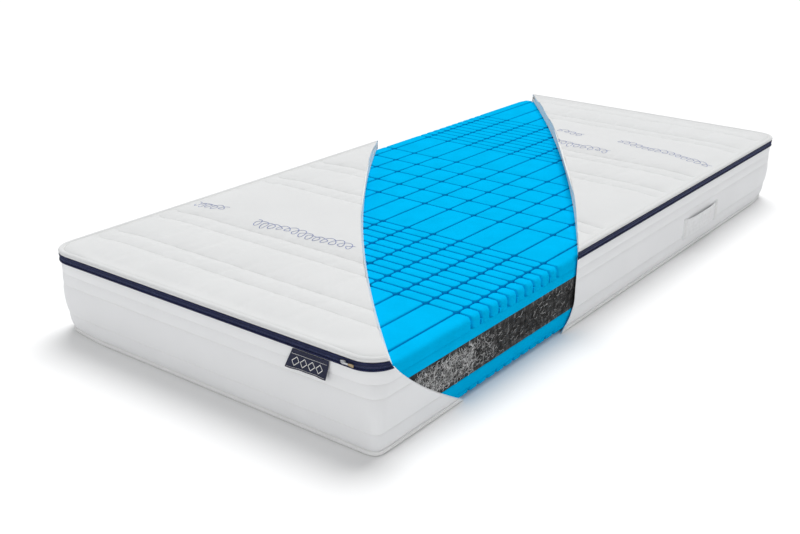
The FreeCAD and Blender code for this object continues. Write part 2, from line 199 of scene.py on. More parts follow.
def even_columns(step, corner_steps=12):
    """Columns about a step apart along the straight sides."""
    half_x, half_y = HALF_WIDTH - BAND_CORNER, HALF_LENGTH - BAND_CORNER
    return Columns(spaced(-half_x, half_x, step), spaced(-half_y, half_y, step), corner_steps)


def lean(z):
    """How far the lower edge leans in at a height, from 0 to 1 at the floor."""
    return np.clip(1 - z / LEAN_TOP, 0, 1) ** 2


def tucked(points):
    """Draws in the lower corners, but for the near foot corner, which is drawn to a point."""
    near_x = smooth((np.abs(points[:, 0]) - HALF_WIDTH + TUCK_RUN) / TUCK_RUN)
    near_y = smooth((np.abs(points[:, 1]) - HALF_LENGTH + TUCK_RUN) / TUCK_RUN)
    low = np.clip(1 - points[:, 2] / TUCK_TOP, 0, 1) ** 2
    pull = TUCK * near_x * near_y * low / math.sqrt(2)
    pull[(points[:, 0] > 0) & (points[:, 1] < 0)] = 0
    points[:, 0] -= np.sign(points[:, 0]) * pull
    points[:, 1] -= np.sign(points[:, 1]) * pull

    over_x = np.clip(points[:, 0] - HALF_WIDTH + BAND_CORNER, 0, None)
    over_y = np.clip(-points[:, 1] - HALF_LENGTH + BAND_CORNER, 0, None)
    reach = np.hypot(over_x, over_y) + 1e-9
    power = 2 + 3.5 * smooth(np.clip(1 - points[:, 2] / POINTED_TOP, 0, 1) * 1.6)
    grow = ((over_x / reach) ** power + (over_y / reach) ** power + 1e-9) ** (-1 / power) - 1
    both = (over_x > 0) & (over_y > 0)
    points[both, 0] += (over_x * grow)[both]
    points[both, 1] -= (over_y * grow)[both]
    return points


# ------------------------------------------------------------------ the window's two cuts
def arc_y(x, start, end, bow, upper):
    """Y at each x of an arc from start to end whose middle stands off its chord by bow."""
    chord = np.stack([end[0] - start[0], end[1] - start[1]], axis=-1)
    length = np.linalg.norm(chord, axis=-1)
    along = chord / length[..., None]
    right = np.stack([along[..., 1], -along[..., 0]], axis=-1)
    radius = (length**2 / 4 + bow**2) / (2 * bow)
    centre_x = (start[0] + end[0]) / 2 + right[..., 0] * (bow - radius)
    centre_y = (start[1] + end[1]) / 2 + right[..., 1] * (bow - radius)
    rise = np.sqrt(np.maximum(radius**2 - (x - centre_x) ** 2, 0))
    return centre_y + rise if upper else centre_y - rise


def foot_cut(x, z):
    """Y of the foot piece's cut edge, which flattens towards the floor on the near side."""
    below_top = np.clip(1 - z / CROWN_TOP, 0, None)
    near_y = -HALF_LENGTH + FOOT_NEAR + FOOT_FLARE * below_top**1.4
    start = (np.full_like(x, -HALF_WIDTH - 0.01), np.full_like(x, -HALF_LENGTH + FOOT_FAR))
    end = (np.full_like(x, HALF_WIDTH + 0.01), near_y)
    return arc_y(x, start, end, FOOT_BOW, False)


def head_cut(x, z):
    """Y of the head piece's cut edge, which swings towards the foot low on the near side."""
    in_flare = np.clip(1 - z / HEAD_FLARE_TOP, 0, None)
    near_y = HALF_LENGTH - HEAD_NEAR - HEAD_FLARE * in_flare**2
    start = (np.full_like(x, HALF_WIDTH + 0.01), near_y)
    end = (np.full_like(x, -HALF_WIDTH + 0.026), np.full_like(x, HALF_LENGTH + 0.01))
    return arc_y(x, start, end, HEAD_BOW, True)


CUTS = {"foot": foot_cut, "head": head_cut}


def window_cut(source, end, closed):
    """A copy of a mesh cut along the window's edge; end says which piece of the cover is kept."""
    bm = bmesh.new()
    bm.from_mesh(source)

    def shift(sign):
        points = np.array([v.co for v in bm.verts])
        moved = points[:, 1] + sign * CUTS[end](points[:, 0], points[:, 2])
        for vertex, y in zip(bm.verts, moved):
            vertex.co.y = y

    # the cut is straight in a copy that is shifted so that the window's edge lies at Y = 0
    shift(-1)
    cut = bmesh.ops.bisect_plane(
        bm,
        geom=bm.verts[:] + bm.edges[:] + bm.faces[:],
        dist=1e-7,
        plane_co=(0, 0, 0),
        plane_no=(0, 1, 0),
        clear_outer=end == "foot",
        clear_inner=end == "head",
    )
    if closed:
        rim = [e for e in cut["geom_cut"] if isinstance(e, bmesh.types.BMEdge)]
        bmesh.ops.triangle_fill(bm, use_beauty=True, use_dissolve=False, edges=rim)
    shift(1)
    if closed:
        bmesh.ops.recalc_face_normals(bm, faces=bm.faces[:])
    mesh = bpy.data.meshes.new(source.name + "_" + end)
    bm.to_mesh(mesh)
    bm.free()
    return mesh


# ------------------------------------------------------------------ meshes
@contextlib.contextmanager
def editing(mesh, outwards=True):
    """The mesh as a bmesh, written back afterwards, with its faces turned outwards if asked."""
    bm = bmesh.new()
    bm.from_mesh(mesh)
    yield bm
    if outwards:
        bmesh.ops.recalc_face_normals(bm, faces=bm.faces[:])
    bm.to_mesh(mesh)
    bm.free()


def facing_out(mesh):
    """Turns every face of a closed mesh outwards."""
    with editing(mesh):
        return mesh


def tuck_mesh(mesh, points=None):
    """Moves a mesh's points, or new points given for them, in at the lower corners."""
    points = np.array([v.co for v in mesh.vertices]) if points is None else points
    mesh.vertices.foreach_set("co", tucked(points).astype(np.float32).ravel())


def mesh_of(name, points, faces, uv=None):
    """A mesh from points and faces. uv gives each point's place on the cloth, in metres."""
    mesh = bpy.data.meshes.new(name)
    mesh.from_pydata([tuple(p) for p in points], [], faces)
    if uv is not None:
        layer = mesh.uv_layers.new(name="cloth")
        index = np.zeros(len(mesh.loops), np.int32)
        mesh.loops.foreach_get("vertex_index", index)
        layer.data.foreach_set("uv", np.asarray(uv, np.float32)[index].ravel())
    mesh.validate()
    return mesh


def strip_faces(columns, rows, closed_rows):
    """Faces between neighbouring columns of points, each column with its rows in turn."""
    faces = []
    last = rows if closed_rows else rows - 1
    for column in range(columns - 1):
        for row in range(last):
            a, b = column * rows + row, column * rows + (row + 1) % rows
            faces.append((a, a + rows, b + rows, b))
    return faces


def swept(name, columns, inset, height, closed=True):
    """A section swept round the mattress. inset and height hold one row of points per column."""
    count = len(columns.run)
    inset = np.broadcast_to(inset, (count, np.shape(inset)[-1]))
    height = np.broadcast_to(height, inset.shape)
    rows = inset.shape[1]
    plan = columns.stand[:, None, :] + columns.look[:, None, :] * (BAND_CORNER - inset)[..., None]
    points = np.concatenate([plan, height[..., None]], axis=2).reshape(-1, 3)
    step = np.hypot(np.diff(inset[0]), np.diff(height[0]))
    along_section = np.concatenate([[0], np.cumsum(step)])
    uv = np.stack([np.repeat(columns.run, rows), np.tile(along_section, count)], axis=1)
    return mesh_of(name, points, strip_faces(count, rows, closed), uv)


def finished(name, mesh, body, finish, replaces=(), sharp=40):
    """Makes a mesh into a piece that rides on a body and has a finish."""
    mesh.materials.clear()
    mesh.materials.append(FINISH[finish])
    mesh.shade_smooth()
    mesh.set_sharp_from_angle(angle=math.radians(sharp))
    mesh.name = name
    piece = linked(name, mesh)
    if body:
        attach(piece, body)
    if replaces:
        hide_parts(*replaces)
    return piece


def applied(holder):
    """The plain mesh that an object's modifiers give. The object itself is removed."""
    bpy.context.view_layer.update()
    graph = bpy.context.evaluated_depsgraph_get()
    mesh = bpy.data.meshes.new_from_object(holder.evaluated_get(graph))
    bpy.data.objects.remove(holder)
    return mesh


def thickened(mesh, thickness):
    """A sheet given its thickness, inwards from its face."""
    holder = linked("holder", mesh)
    solid = holder.modifiers.new("thickness", "SOLIDIFY")
    solid.thickness = thickness
    solid.offset = -1
    solid.use_even_offset = True
    return applied(holder)


def runs_on(end, line, margin):
    """The stretches of a line that lie on one end's piece of the cover, clear of its cut."""
    side = CUTS[end](line[:, 0], line[:, 2]) - line[:, 1]
    kept = side > margin if end == "foot" else side < -margin
    breaks = np.nonzero(np.diff(kept.astype(int)))[0] + 1
    stretches = zip(np.split(line, breaks), np.split(kept, breaks))
    return [part for part, keep in stretches if keep[0] and len(part) > 1]


def declare_sheets(pieces, height):
    """Works out, for each end's piece, where its cut crosses a panel at that height; the result is not
    kept.
    """
    for end, piece in pieces.items():
        xs = spaced(-HALF_WIDTH, HALF_WIDTH, 10 * MM)
        y = np.clip(CUTS[end](xs, np.full_like(xs, height)), -HALF_LENGTH, HALF_LENGTH)


def cover_pieces(name, source, bodies, finish, closed=True, sharp=60, thickness=0):
    """The foot piece and the head piece of one ring or panel of the cover."""
    pieces = {}
    for end in ("foot", "head"):
        mesh = window_cut(source, end, closed)
        if thickness:
            mesh = thickened(mesh, thickness)
        node = f"{end}_{name}"
        pieces[end] = finished(node + "_cloth", mesh, bodies[end], finish, [node], sharp)
    return pieces


LOWER = {"foot": "lower_cover", "head": "lower_cover"}
UPPER = {"foot": "top_cover_foot", "head": "top_cover_head"}


# ------------------------------------------------------------------ finishes
def add_node(tree, kind, inputs, properties):
    """Adds a node, sets its properties, and links each input or gives it its value."""
    made = tree.nodes.new(kind)
    for key, value in properties.items():
        setattr(made, key, value)
    for key, value in inputs.items():
        if isinstance(value, bpy.types.NodeSocket):
            tree.links.new(value, made.inputs[key])
        else:
            made.inputs[key].default_value = value
    return made


class Finish:
    """A node material on one Principled shader, with the textures that feed it."""

    def __init__(self, name, colour, roughness, **constants):
        self.material = bpy.data.materials.new(name)
        self.material.use_nodes = True
        self.tree = self.material.node_tree
        self.colour = colour
        self.sockets = self.tree.nodes["Principled BSDF"].inputs
        self.sockets["Base Color"].default_value = (*colour, 1)
        self.sockets["Roughness"].default_value = roughness
        for socket, value in constants.items():
            self.sockets[socket.replace("_", " ")].default_value = value

    def node(self, kind, output, inputs, **properties):
        return add_node(self.tree, "ShaderNode" + kind, inputs, properties).outputs[output]

    def place(self, source, scale=(1, 1, 1), turn=0.0):
        """Coordinates in metres, stretched by scale and turned about Z."""
        start = self.node("TexCoord", source, {})
        return self.node("Mapping", "Vector", {"Vector": start, "Scale": scale, "Rotation": (0, 0, turn)})

    def noise(self, place, scale, detail=3, distortion=0.0):
        inputs = {"Vector": place, "Scale": scale, "Detail": detail, "Distortion": distortion}
        return self.node("TexNoise", "Fac", inputs)

    def ribs(self, place, pitch, direction="X", distortion=0.0):
        """Rounded ribs at a pitch in metres."""
        inputs = {"Vector": place, "Scale": math.tau / (20 * pitch), "Distortion": distortion}
        waves = {"wave_type": "BANDS", "bands_direction": direction, "wave_profile": "SIN"}
        return self.node("TexWave", "Fac", inputs, **waves)

    def product(self, a, b):
        return self.node("Math", 0, {0: a, 1: b}, operation="MULTIPLY")

    def weave(self, place, pitch_x, pitch_y, distortion=0.0):
        """Ribs along and across."""
        along = self.ribs(place, pitch_x, "X", distortion)
        return self.product(along, self.ribs(place, pitch_y, "Y", distortion))

    def cells(self, place, scale):
        return self.node("TexVoronoi", "Distance", {"Vector": place, "Scale": scale})

    def tint(self, value, stops):
        """Base colour along a value: stops are (position, colour)."""
        made = add_node(self.tree, "ShaderNodeValToRGB", {"Fac": value}, {})
        marks = made.color_ramp.elements
        for index, (position, colour) in enumerate(stops):
            mark = marks[index] if index < 2 else marks.new(position)
            mark.position = position
            mark.color = (*colour, 1)
        self.tree.links.new(made.outputs["Color"], self.sockets["Base Color"])

    def shade(self, value, low, high):
        """Base colour that runs from low to high times the finish's own colour."""
        darker, lighter = (tuple(min(1, c * times) for c in self.colour) for times in (low, high))
        self.tint(value, [(0.3, darker), (0.7, lighter)])

    def bump(self, value, distance, strength=1.0):
        """Adds relief of that depth in metres on top of what is there."""
        inputs = {"Height": value, "Distance": distance, "Strength": strength}
        normal = self.sockets["Normal"]
        if normal.is_linked:
            inputs["Normal"] = normal.links[0].from_socket
        self.tree.links.new(self.node("Bump", "Normal", inputs), normal)


NOISE, RIBS, WEAVE, CELLS = Finish.noise, Finish.ribs, Finish.weave, Finish.cells


def textured(
    name, colour, roughness, source, relief, mottle, shades, kind=NOISE, scale=(1, 1, 1), turn=0.0, **shader
):
    """A finish with relief and a mottled colour.

    relief holds layers of texture, settings, depth in millimetres and, if not 1, strength. mottle
    holds the settings of the texture, of that kind, along which the colour runs between the shades.
    """
    finish = Finish(name, colour, roughness, **shader)
    place = finish.place(source, scale, turn)
    for texture, settings, depth, *strength in relief:
        finish.bump(texture(finish, place, *settings), depth * MM, *strength)
    finish.shade(kind(finish, place, *mottle), *shades)
    return finish.material


def knit(name, colour, pitch, source):
    """Stretch knit: fine wales with a cross grain and faint larger unevenness."""
    relief = [(WEAVE, (pitch, pitch * 0.7, 0.6), 0.25), (NOISE, (45, 4), 0.5, 0.5)]
    sheen = {"Sheen_Weight": 0.08, "Specular_IOR_Level": 0.2}
    return textured(name, colour, 0.9, source, relief, (7, 5), (0.985, 1.01), **sheen)


def charcoal_fibre():
    """Felted fibre: streaks that lie along the pad, broken up by swirls."""
    fibre = Finish("charcoal_fibre", (0.05, 0.05, 0.052), 0.85, Specular_IOR_Level=0.2)
    streaks = fibre.noise(fibre.place("Object", (1, 1, 0.22)), 120, 6, 0.8)
    swirls = fibre.noise(fibre.place("Object", (1, 1, 0.6)), 45, 3, 3.5)
    greys = [(0.12, (0.014,) * 3), (0.42, (0.20,) * 3), (0.27, (0.05,) * 3)]
    fibre.tint(fibre.product(streaks, swirls), greys)
    fibre.bump(streaks, 2.0 * MM)
    return fibre.material


def woven_ribs(pitch_x, depth_x, second, pitch_y, depth_y, distortion=0.0):
    """Two layers of relief: ribs along X, and ribs along the second axis."""
    return [
        (RIBS, (pitch_x * MM, "X", distortion), depth_x),
        (RIBS, (pitch_y * MM, second, distortion), depth_y),
    ]


def make_finishes():
    """Every finish, by the key that the pieces ask for."""
    tape_weave = (0.9 * MM, 0.9 * MM)
    web_relief = [(RIBS, (1.3 * MM, "Y"), 0.25), (RIBS, (1.3 * MM, "Z"), 0.2)]
    foam_relief = [(CELLS, (700,), 0.25, 0.8), (NOISE, (60, 4), 0.5, 0.6)]
    rows = {
        "binding": (
            ("white_binding_tape", (0.88, 0.88, 0.875), 0.7, "UV"),
            (woven_ribs(1.1, 0.2, "Y", 2.2, 0.15), (30, 3), (0.98, 1.02)),
            {"Sheen_Weight": 0.2},
        ),
        "bottom": (
            ("grey_bottom_knit", (0.55, 0.56, 0.57), 0.9, "Object"),
            (woven_ribs(1.8, 0.2, "Y", 1.8, 0.2, 0.5), (12, 4), (0.95, 1.03)),
            {"Sheen_Weight": 0.2},
        ),
        "wadding": (
            ("white_fibre_wadding", (0.82, 0.82, 0.81), 0.95, "Object"),
            ([(NOISE, (260, 6, 1.5), 1.2)], (90, 6, 2.0), (0.93, 1.03)),
            {"scale": (1, 1, 3), "Sheen_Weight": 0.5},
        ),
        "lining": (
            ("white_lining_fleece", (0.78, 0.78, 0.76), 0.95, "Object"),
            ([(NOISE, (400, 4, 0.5), 0.5)], (40, 4), (0.96, 1.02)),
            {"Sheen_Weight": 0.4},
        ),
        "piping": (
            ("navy_piping_cloth", (0.0085, 0.0125, 0.058), 0.6, "UV"),
            (woven_ribs(0.8, 0.15, "Y", 0.8, 0.15), (60, 3), (0.8, 1.3)),
            {"turn": 0.6, "Specular_IOR_Level": 0.25},
        ),
        "zip_tape": (
            ("navy_zip_tape_weave", (0.016, 0.024, 0.085), 0.6, "UV"),
            ([(WEAVE, tape_weave, 0.2)], tape_weave, (0.7, 1.5), WEAVE),
            {"turn": 0.785, "Specular_IOR_Level": 0.3},
        ),
        "zip_coil": (
            ("navy_zip_coil_nylon", (0.035, 0.05, 0.15), 0.3, "Object"),
            ([(NOISE, (900, 2), 0.05)], (150, 2), (0.8, 1.25)),
            {"Coat_Weight": 0.3},
        ),
        "foam": (
            ("sky_blue_foam", (0.0003, 0.435, 0.80), 0.95, "Object"),
            (foam_relief, (20, 5), (0.95, 1.03)),
            {"Specular_IOR_Level": 0.0},
        ),
        "strand": (
            ("grey_fibre_strand", (0.05, 0.05, 0.05), 0.6, "Object"),
            ([], (90, 3), (0.35, 1.5)),
            {"Specular_IOR_Level": 0.3},
        ),
        "pale_strand": (
            ("grey_fibre_pale_strand", (0.95, 0.95, 0.95), 0.6, "Object"),
            ([], (90, 3), (0.35, 1.5)),
            {"Specular_IOR_Level": 0.3},
        ),
        "webbing": (
            ("white_handle_webbing", (0.88, 0.885, 0.895), 0.65, "Object"),
            (web_relief, (80, 3), (0.95, 1.03)),
            {"Sheen_Weight": 0.2},
        ),
        "label": (
            ("navy_label_satin", (0.007, 0.010, 0.036), 0.5, "Object"),
            (woven_ribs(0.5, 0.08, "Z", 0.7, 0.1), (120, 3), (0.85, 1.3)),
            {"Specular_IOR_Level": 0.3},
        ),
        "thread": (
            ("white_thread", (0.80, 0.80, 0.78), 0.6, "Object"),
            ([(RIBS, (0.6 * MM, "X"), 0.1)], (200, 2), (0.95, 1.03)),
            {"Sheen_Weight": 0.3},
        ),
        "print": (
            ("soft_blue_print", (0.13, 0.16, 0.31), 0.8, "Object"),
            ([], (260, 4), (0.7, 1.9)),
            {"Sheen_Weight": 0.2},
        ),
        "metal": (
            ("bright_zip_metal", (0.55, 0.56, 0.58), 0.32, "Object"),
            ([(NOISE, (500, 4), 0.05)], (80, 4), (0.85, 1.05)),
            {"Metallic": 1.0},
        ),
        "brass": (
            ("warm_pull_tip", (0.36, 0.28, 0.17), 0.4, "Object"),
            ([(NOISE, (400, 4), 0.05)], (120, 4), (0.8, 1.1)),
            {"Metallic": 1.0},
        ),
    }
    made = {key: textured(*base, *surface, **more) for key, (base, surface, more) in rows.items()}
    made["ticking"] = knit("white_knit_ticking", (0.70, 0.705, 0.705), 1.6 * MM, "Object")
    # The border's colour is lighter than the ticking's. The base white is the cloth's own, and the extra
    # white is painted light that brightens the upright sides to the top's level.
    made["border"] = knit("white_quilted_border", (0.85, 0.855, 0.865), 1.8 * MM, "UV")
    made["fibre"] = charcoal_fibre()
    return made


FINISH = make_finishes()


# ------------------------------------------------------------------ geometry node helpers
class Tree:
    """A geometry node tree with named inputs, ending in Set Material."""

    def __init__(self, name, **inputs):
        self.group = bpy.data.node_groups.new(name, "GeometryNodeTree")
        face = self.group.interface
        for way in ("INPUT", "OUTPUT"):
            face.new_socket("Geometry", in_out=way, socket_type="NodeSocketGeometry")
        for label, kind in {**inputs, "Material": "Material"}.items():
            face.new_socket(label, in_out="INPUT", socket_type="NodeSocket" + kind)
        self.start = self.group.nodes.new("NodeGroupInput").outputs
        self.end = self.group.nodes.new("NodeGroupOutput").inputs

    def node(self, kind, inputs, output=0, **properties):
        return add_node(self.group, kind, inputs, properties).outputs[output]

    def geometry(self, kind, inputs, output=0, **properties):
        return self.node("GeometryNode" + kind, inputs, output, **properties)

    def vector(self, operation, a, b):
        return self.node("ShaderNodeVectorMath", {0: a, 1: b}, operation=operation)

    def attribute(self, name):
        return self.geometry("InputNamedAttribute", {"Name": name}, "Attribute", data_type="FLOAT_VECTOR")

    def copies(self, points, label, **more):
        """Real copies, on points, of the object that an input names."""
        shape = self.geometry("ObjectInfo", {"Object": self.start[label]}, "Geometry")
        placed = self.geometry("InstanceOnPoints", {"Points": points, "Instance": shape, **more})
        return self.geometry("RealizeInstances", {"Geometry": placed})

    def finish(self, geometry):
        made = self.geometry("SetMaterial", {"Geometry": geometry, "Material": self.start["Material"]})
        self.group.links.new(made, self.end["Geometry"])
        return self.group


def grown(tree, mesh, **values):
    """Runs a node tree on a mesh and gives the plain mesh that comes out."""
    holder = linked("holder", mesh)
    modifier = holder.modifiers.new("nodes", "NODES")
    modifier.node_group = tree
    for item in tree.interface.items_tree:
        if item.in_out == "INPUT" and item.name in values:
            modifier[item.identifier] = values[item.name]
    return applied(holder)


def block_tree():
    """Rounded blocks: each corner point of a template goes to its own cell's corner."""
    tree = Tree("foam_block_rows", Template="Object")
    solid = tree.copies(tree.start["Geometry"], "Template")
    corner, edge, plan = (tree.attribute(name) for name in ("corner", "edge_round", "plan_round"))
    outer = tree.vector("MAXIMUM", tree.vector("MULTIPLY", corner, tree.attribute("outside")), (0, 0, 0))
    split = tree.node("ShaderNodeSeparateXYZ", {"Vector": outer}).node.outputs
    either = tree.node("ShaderNodeMath", {0: split["X"], 1: split["Y"]}, operation="MAXIMUM")
    outer = tree.node("ShaderNodeCombineXYZ", {"X": split["X"], "Y": split["Y"], "Z": either})
    more = tree.vector("SUBTRACT", tree.attribute("shoulder"), edge)
    radius = tree.vector("ADD", edge, tree.vector("MULTIPLY", more, outer))
    reach = tree.vector("SUBTRACT", tree.attribute("half_size"), plan)
    place = tree.vector("MULTIPLY", corner, reach)
    for name, size in (("bend", plan), ("bevel", radius)):
        place = tree.vector("ADD", place, tree.vector("MULTIPLY", tree.attribute(name), size))
    place = tree.vector("ADD", place, tree.attribute("middle"))
    return tree.finish(tree.geometry("SetPosition", {"Geometry": solid, "Position": place}))


def row_tree():
    """Small pieces in a row along edges, standing on the cloth below or beside them."""
    tree = Tree("rows_along_an_edge", Part="Object", Pitch="Float", Up="Vector")
    curve = tree.geometry("MeshToCurve", {"Mesh": tree.start["Geometry"]})
    inputs = {"Curve": curve, "Length": tree.start["Pitch"]}
    points = tree.geometry("CurveToPoints", inputs, "Points", mode="LENGTH")
    align = "FunctionNodeAlignRotationToVector"
    along = tree.node(align, {"Vector": points.node.outputs["Tangent"]}, axis="X")
    upright = tree.node(align, {"Rotation": along, "Vector": tree.start["Up"]}, axis="Z", pivot_axis="X")
    return tree.finish(tree.copies(points, "Part", Rotation=upright))


def curl_tree():
    """Strands scattered over a surface, each turned by up to Spin about its normal."""
    tree = Tree("strands", Strand="Object", Density="Float", Spin="Float", Seed="Int")
    seed = {"Seed": tree.start["Seed"]}
    inputs = {"Mesh": tree.start["Geometry"], "Density": tree.start["Density"], **seed}
    points = tree.geometry("DistributePointsOnFaces", inputs, "Points", distribute_method="RANDOM")
    most = tree.node("ShaderNodeCombineXYZ", {"Z": tree.start["Spin"]})
    least = tree.vector("MULTIPLY", most, (-1, -1, -1))
    chance = "FunctionNodeRandomValue"
    spin = tree.node(chance, {0: least, 1: most, **seed}, data_type="FLOAT_VECTOR")
    size = tree.node(chance, {2: 0.6, 3: 1.5, **seed}, 1, data_type="FLOAT")
    inputs = {"Rotation": points.node.outputs["Rotation"], "Rotate By": spin}
    turn = tree.node("FunctionNodeRotateRotation", inputs, rotation_space="LOCAL")
    return tree.finish(tree.copies(points, "Strand", Rotation=turn, Scale=size))


BLOCKS, ROWS, CURLS = block_tree(), row_tree(), curl_tree()


def template_object(name, mesh):
    """A hidden object that a node tree repeats."""
    made = linked(name, mesh)
    made.hide_render = True
    return made


def edge_mesh(name, lines):
    """A mesh of open lines only, one for each list of points."""
    points, edges = [], []
    for line in lines:
        first = len(points)
        points += [tuple(p) for p in line]
        edges += [(i, i + 1) for i in range(first, len(points) - 1)]
    mesh = bpy.data.meshes.new(name)
    mesh.from_pydata(points, edges, [])
    return mesh


def ring_faces(rings, count):
    """Faces of a closed tube of rings with that many points each, and its two end faces."""
    faces = []
    for ring in range(rings - 1):
        for step in range(count):
            a, b = ring * count + step, ring * count + (step + 1) % count
            faces.append((a, b, b + count, a + count))
    faces.append(tuple(range(count))[::-1])
    faces.append(tuple(range((rings - 1) * count, rings * count)))
    return faces


def tube_mesh(name, path, radius, sides=6):
    """A short closed tube along a path, pinched shut at both ends."""
    path = [Vector(p) for p in path]
    points = []
    for index, point in enumerate(path):
        before, after = path[max(index - 1, 0)], path[min(index + 1, len(path) - 1)]
        along = (after - before).normalized()
        side = along.cross(Vector((0, 0, 1)))
        side = side.normalized() if side.length > 1e-6 else Vector((1, 0, 0))
        up = side.cross(along)
        thick = radius * (0.45 if index in (0, len(path) - 1) else 1)
        for step in range(sides):
            a = math.tau * step / sides
            points.append(point + side * math.cos(a) * thick + up * math.sin(a) * thick)
    return facing_out(mesh_of(name, points, ring_faces(len(path), sides)))


# ------------------------------------------------------------------ top panel of the cover
def quilt_lines():
    """Y of every line of quilting: pairs, with every third pair left out for the print."""
    lines = []
    for index in range(11):
        if index % 3 == 2:
            continue
        middle = -HALF_LENGTH + QUILT_FIRST + index * QUILT_PITCH
        lines += [middle - QUILT_PAIR / 2, middle + QUILT_PAIR / 2]
    return np.array([y for y in lines if y < HALF_LENGTH - 25 * MM])


QUILT_LINES = quilt_lines()
CLOTH_STEP = 12 * MM
CLOTH_FRAMES = 20
CLOTH_PRESSURE = 4
CLOTH_SETTINGS = {
    "quality": 5,
    "mass": 0.15,
    "air_damping": 2,
    "tension_stiffness": 8,
    "compression_stiffness": 3,
    "shear_stiffness": 3,
    "bending_stiffness": 0.05,
    "use_pressure": True,
    "vertex_group_mass": "held",
    "shrink_min": -0.015,
}


def quilted_cloth():
    """A grid over the panel, and how far padding swells the cloth there between its stitching.

    The cloth is held along every line of quilting and round its edge, and pressure fills it.
    """
    edge = CLOTH_STEP
    bounds = np.concatenate([[-HALF_LENGTH + edge], QUILT_LINES, [HALF_LENGTH - edge]])
    ys = bounds[:1]
    for low, high in zip(bounds, bounds[1:]):
        ys = np.concatenate([ys, spaced(low, high, CLOTH_STEP)[1:]])
    xs = spaced(-HALF_WIDTH + edge, HALF_WIDTH - edge, CLOTH_STEP)

    across, along = np.meshgrid(xs, ys, indexing="ij")
    points = np.column_stack([across.ravel(), along.ravel(), np.zeros(across.size)])
    cloth = mesh_of("cloth", points, [face[::-1] for face in strip_faces(len(xs), len(ys), False)])
    holder = linked("cloth", cloth)
    on_line = np.abs(points[:, 1:2] - bounds[None, :]).min(axis=1) < 1e-6
    at_side = np.abs(np.abs(points[:, 0]) - xs[-1]) < 1e-6
    held = holder.vertex_groups.new(name="held")
    held.add([int(i) for i in np.nonzero(on_line | at_side)[0]], 1.0, "ADD")
    modifier = holder.modifiers.new("cloth", "CLOTH")
    for key, value in CLOTH_SETTINGS.items():
        setattr(modifier.settings, key, value)
    up = 1 if cloth.polygons[0].normal.z >= 0 else -1
    modifier.settings.uniform_pressure_force = CLOTH_PRESSURE * up
    modifier.settings.effector_weights.gravity = 0
    scene = bpy.context.scene
    modifier.point_cache.frame_start = 1
    modifier.point_cache.frame_end = CLOTH_FRAMES
    for frame_number in range(1, CLOTH_FRAMES + 1):
        scene.frame_set(frame_number)
    swollen = applied(holder)
    rise = np.array([v.co.z for v in swollen.vertices]).reshape(len(xs), len(ys))
    scene.frame_set(1)
    return xs, ys, np.clip(rise, 0, None)


CLOTH = quilted_cloth()


def quilting(x, y):
    """Height of the quilting over its stitched lines, never more than the padding gives."""
    xs, ys, rise = CLOTH
    (i, _, u), (j, _, v) = in_field(xs, x), in_field(ys, y)
    low = rise[i, j] * (1 - u) + rise[i + 1, j] * u
    high = rise[i, j + 1] * (1 - u) + rise[i + 1, j + 1] * u
    full = np.tanh((low * (1 - v) + high * v) / QUILT_DEPTH)
    return QUILT_DEPTH * (full + 1e-6) ** 0.75


def crown(x, y):
    """Rise of the panel's middle above its edge."""
    rise = []
    for reach in (HALF_WIDTH - np.abs(x), HALF_LENGTH - np.abs(y)):
        rise.append(1 - (1 - np.clip(reach / CROWN_RUN, 0, 1)) ** 2)
    return CROWN_HEIGHT * rise[0] * rise[1]


# the rolled edge: inset from the band's face, and height over the upper piping
ROLL = np.array(
    [
        (8.0, 0.6), (4.5, 0.3), (1.8, 0.7), (0.2, 2.2), (-0.3, 4.4), (0.6, 6.8), (2.8, 8.7),
        (5.6, 9.3), (8.4, 8.3), (10.4, 5.9), (11.6, 4.8), (13.0, 5.7), (16.0, 7.4), (21.0, 8.4),
        (29.0, 9.2), (40.0, 9.6), (57.0, 9.8),
    ]
) * MM
ROLL_VALLEY = 11.6 * MM
VALLEY_RISE = 5.3 * MM
PANEL_RISE = ROLL[-1, 1]


def panel_rows():
    """Y of the panel's rows: close together beside each line of quilting."""
    half = HALF_LENGTH - BAND_CORNER
    beside = np.array([0, 1.2, 3, 6, 11, 18, 26.5]) * MM
    rows = [-half, half, *spaced(-half, half, 14 * MM)]
    for line in QUILT_LINES:
        rows += [*(line + beside), *(line - beside)]

    def gap(y):
        return 1.0 * MM if np.abs(QUILT_LINES - y).min() < 7 * MM else 4.5 * MM

    return np.array(thinned(rows, gap, -half, half))


def panel_height(points, inset, roll_rise):
    """Height of the panel's face: roll, crown, quilting and small unevenness."""
    x, y = points[:, 0], points[:, 1]
    inner = smooth((inset - 10 * MM) / (26 * MM))
    from_sides = HALF_WIDTH - np.abs(x) + HALF_LENGTH - np.abs(y)
    sewn = inner * smooth((from_sides - 90 * MM) / (60 * MM))
    z = PANEL_EDGE + roll_rise + crown(x, y) + (quilting(x, y) - QUILT_DEPTH) * sewn
    flat = np.stack([x, y, np.zeros_like(x)], axis=1)
    z += 0.9 * MM * ripple(flat, 0.16, 1) * inner
    z += 0.5 * MM * ripple(flat, 0.045, 2) * inner
    beside = np.exp(-np.abs(y[:, None] - QUILT_LINES[None, :]).min(axis=1) / (11 * MM))
    across = np.stack([x, y * 0.25, np.zeros_like(x)], axis=1)
    z += 0.9 * MM * ripple(across, 0.016, 3) * beside * inner
    gather = np.exp(-np.abs(inset - ROLL_VALLEY) / (9 * MM))
    z += 0.5 * MM * ripple(flat, 0.014, 4) * gather
    return z


def from_edge(x, y):
    """Distance from the nearest side of the cover."""
    return np.minimum(HALF_WIDTH - np.abs(x), HALF_LENGTH - np.abs(y))


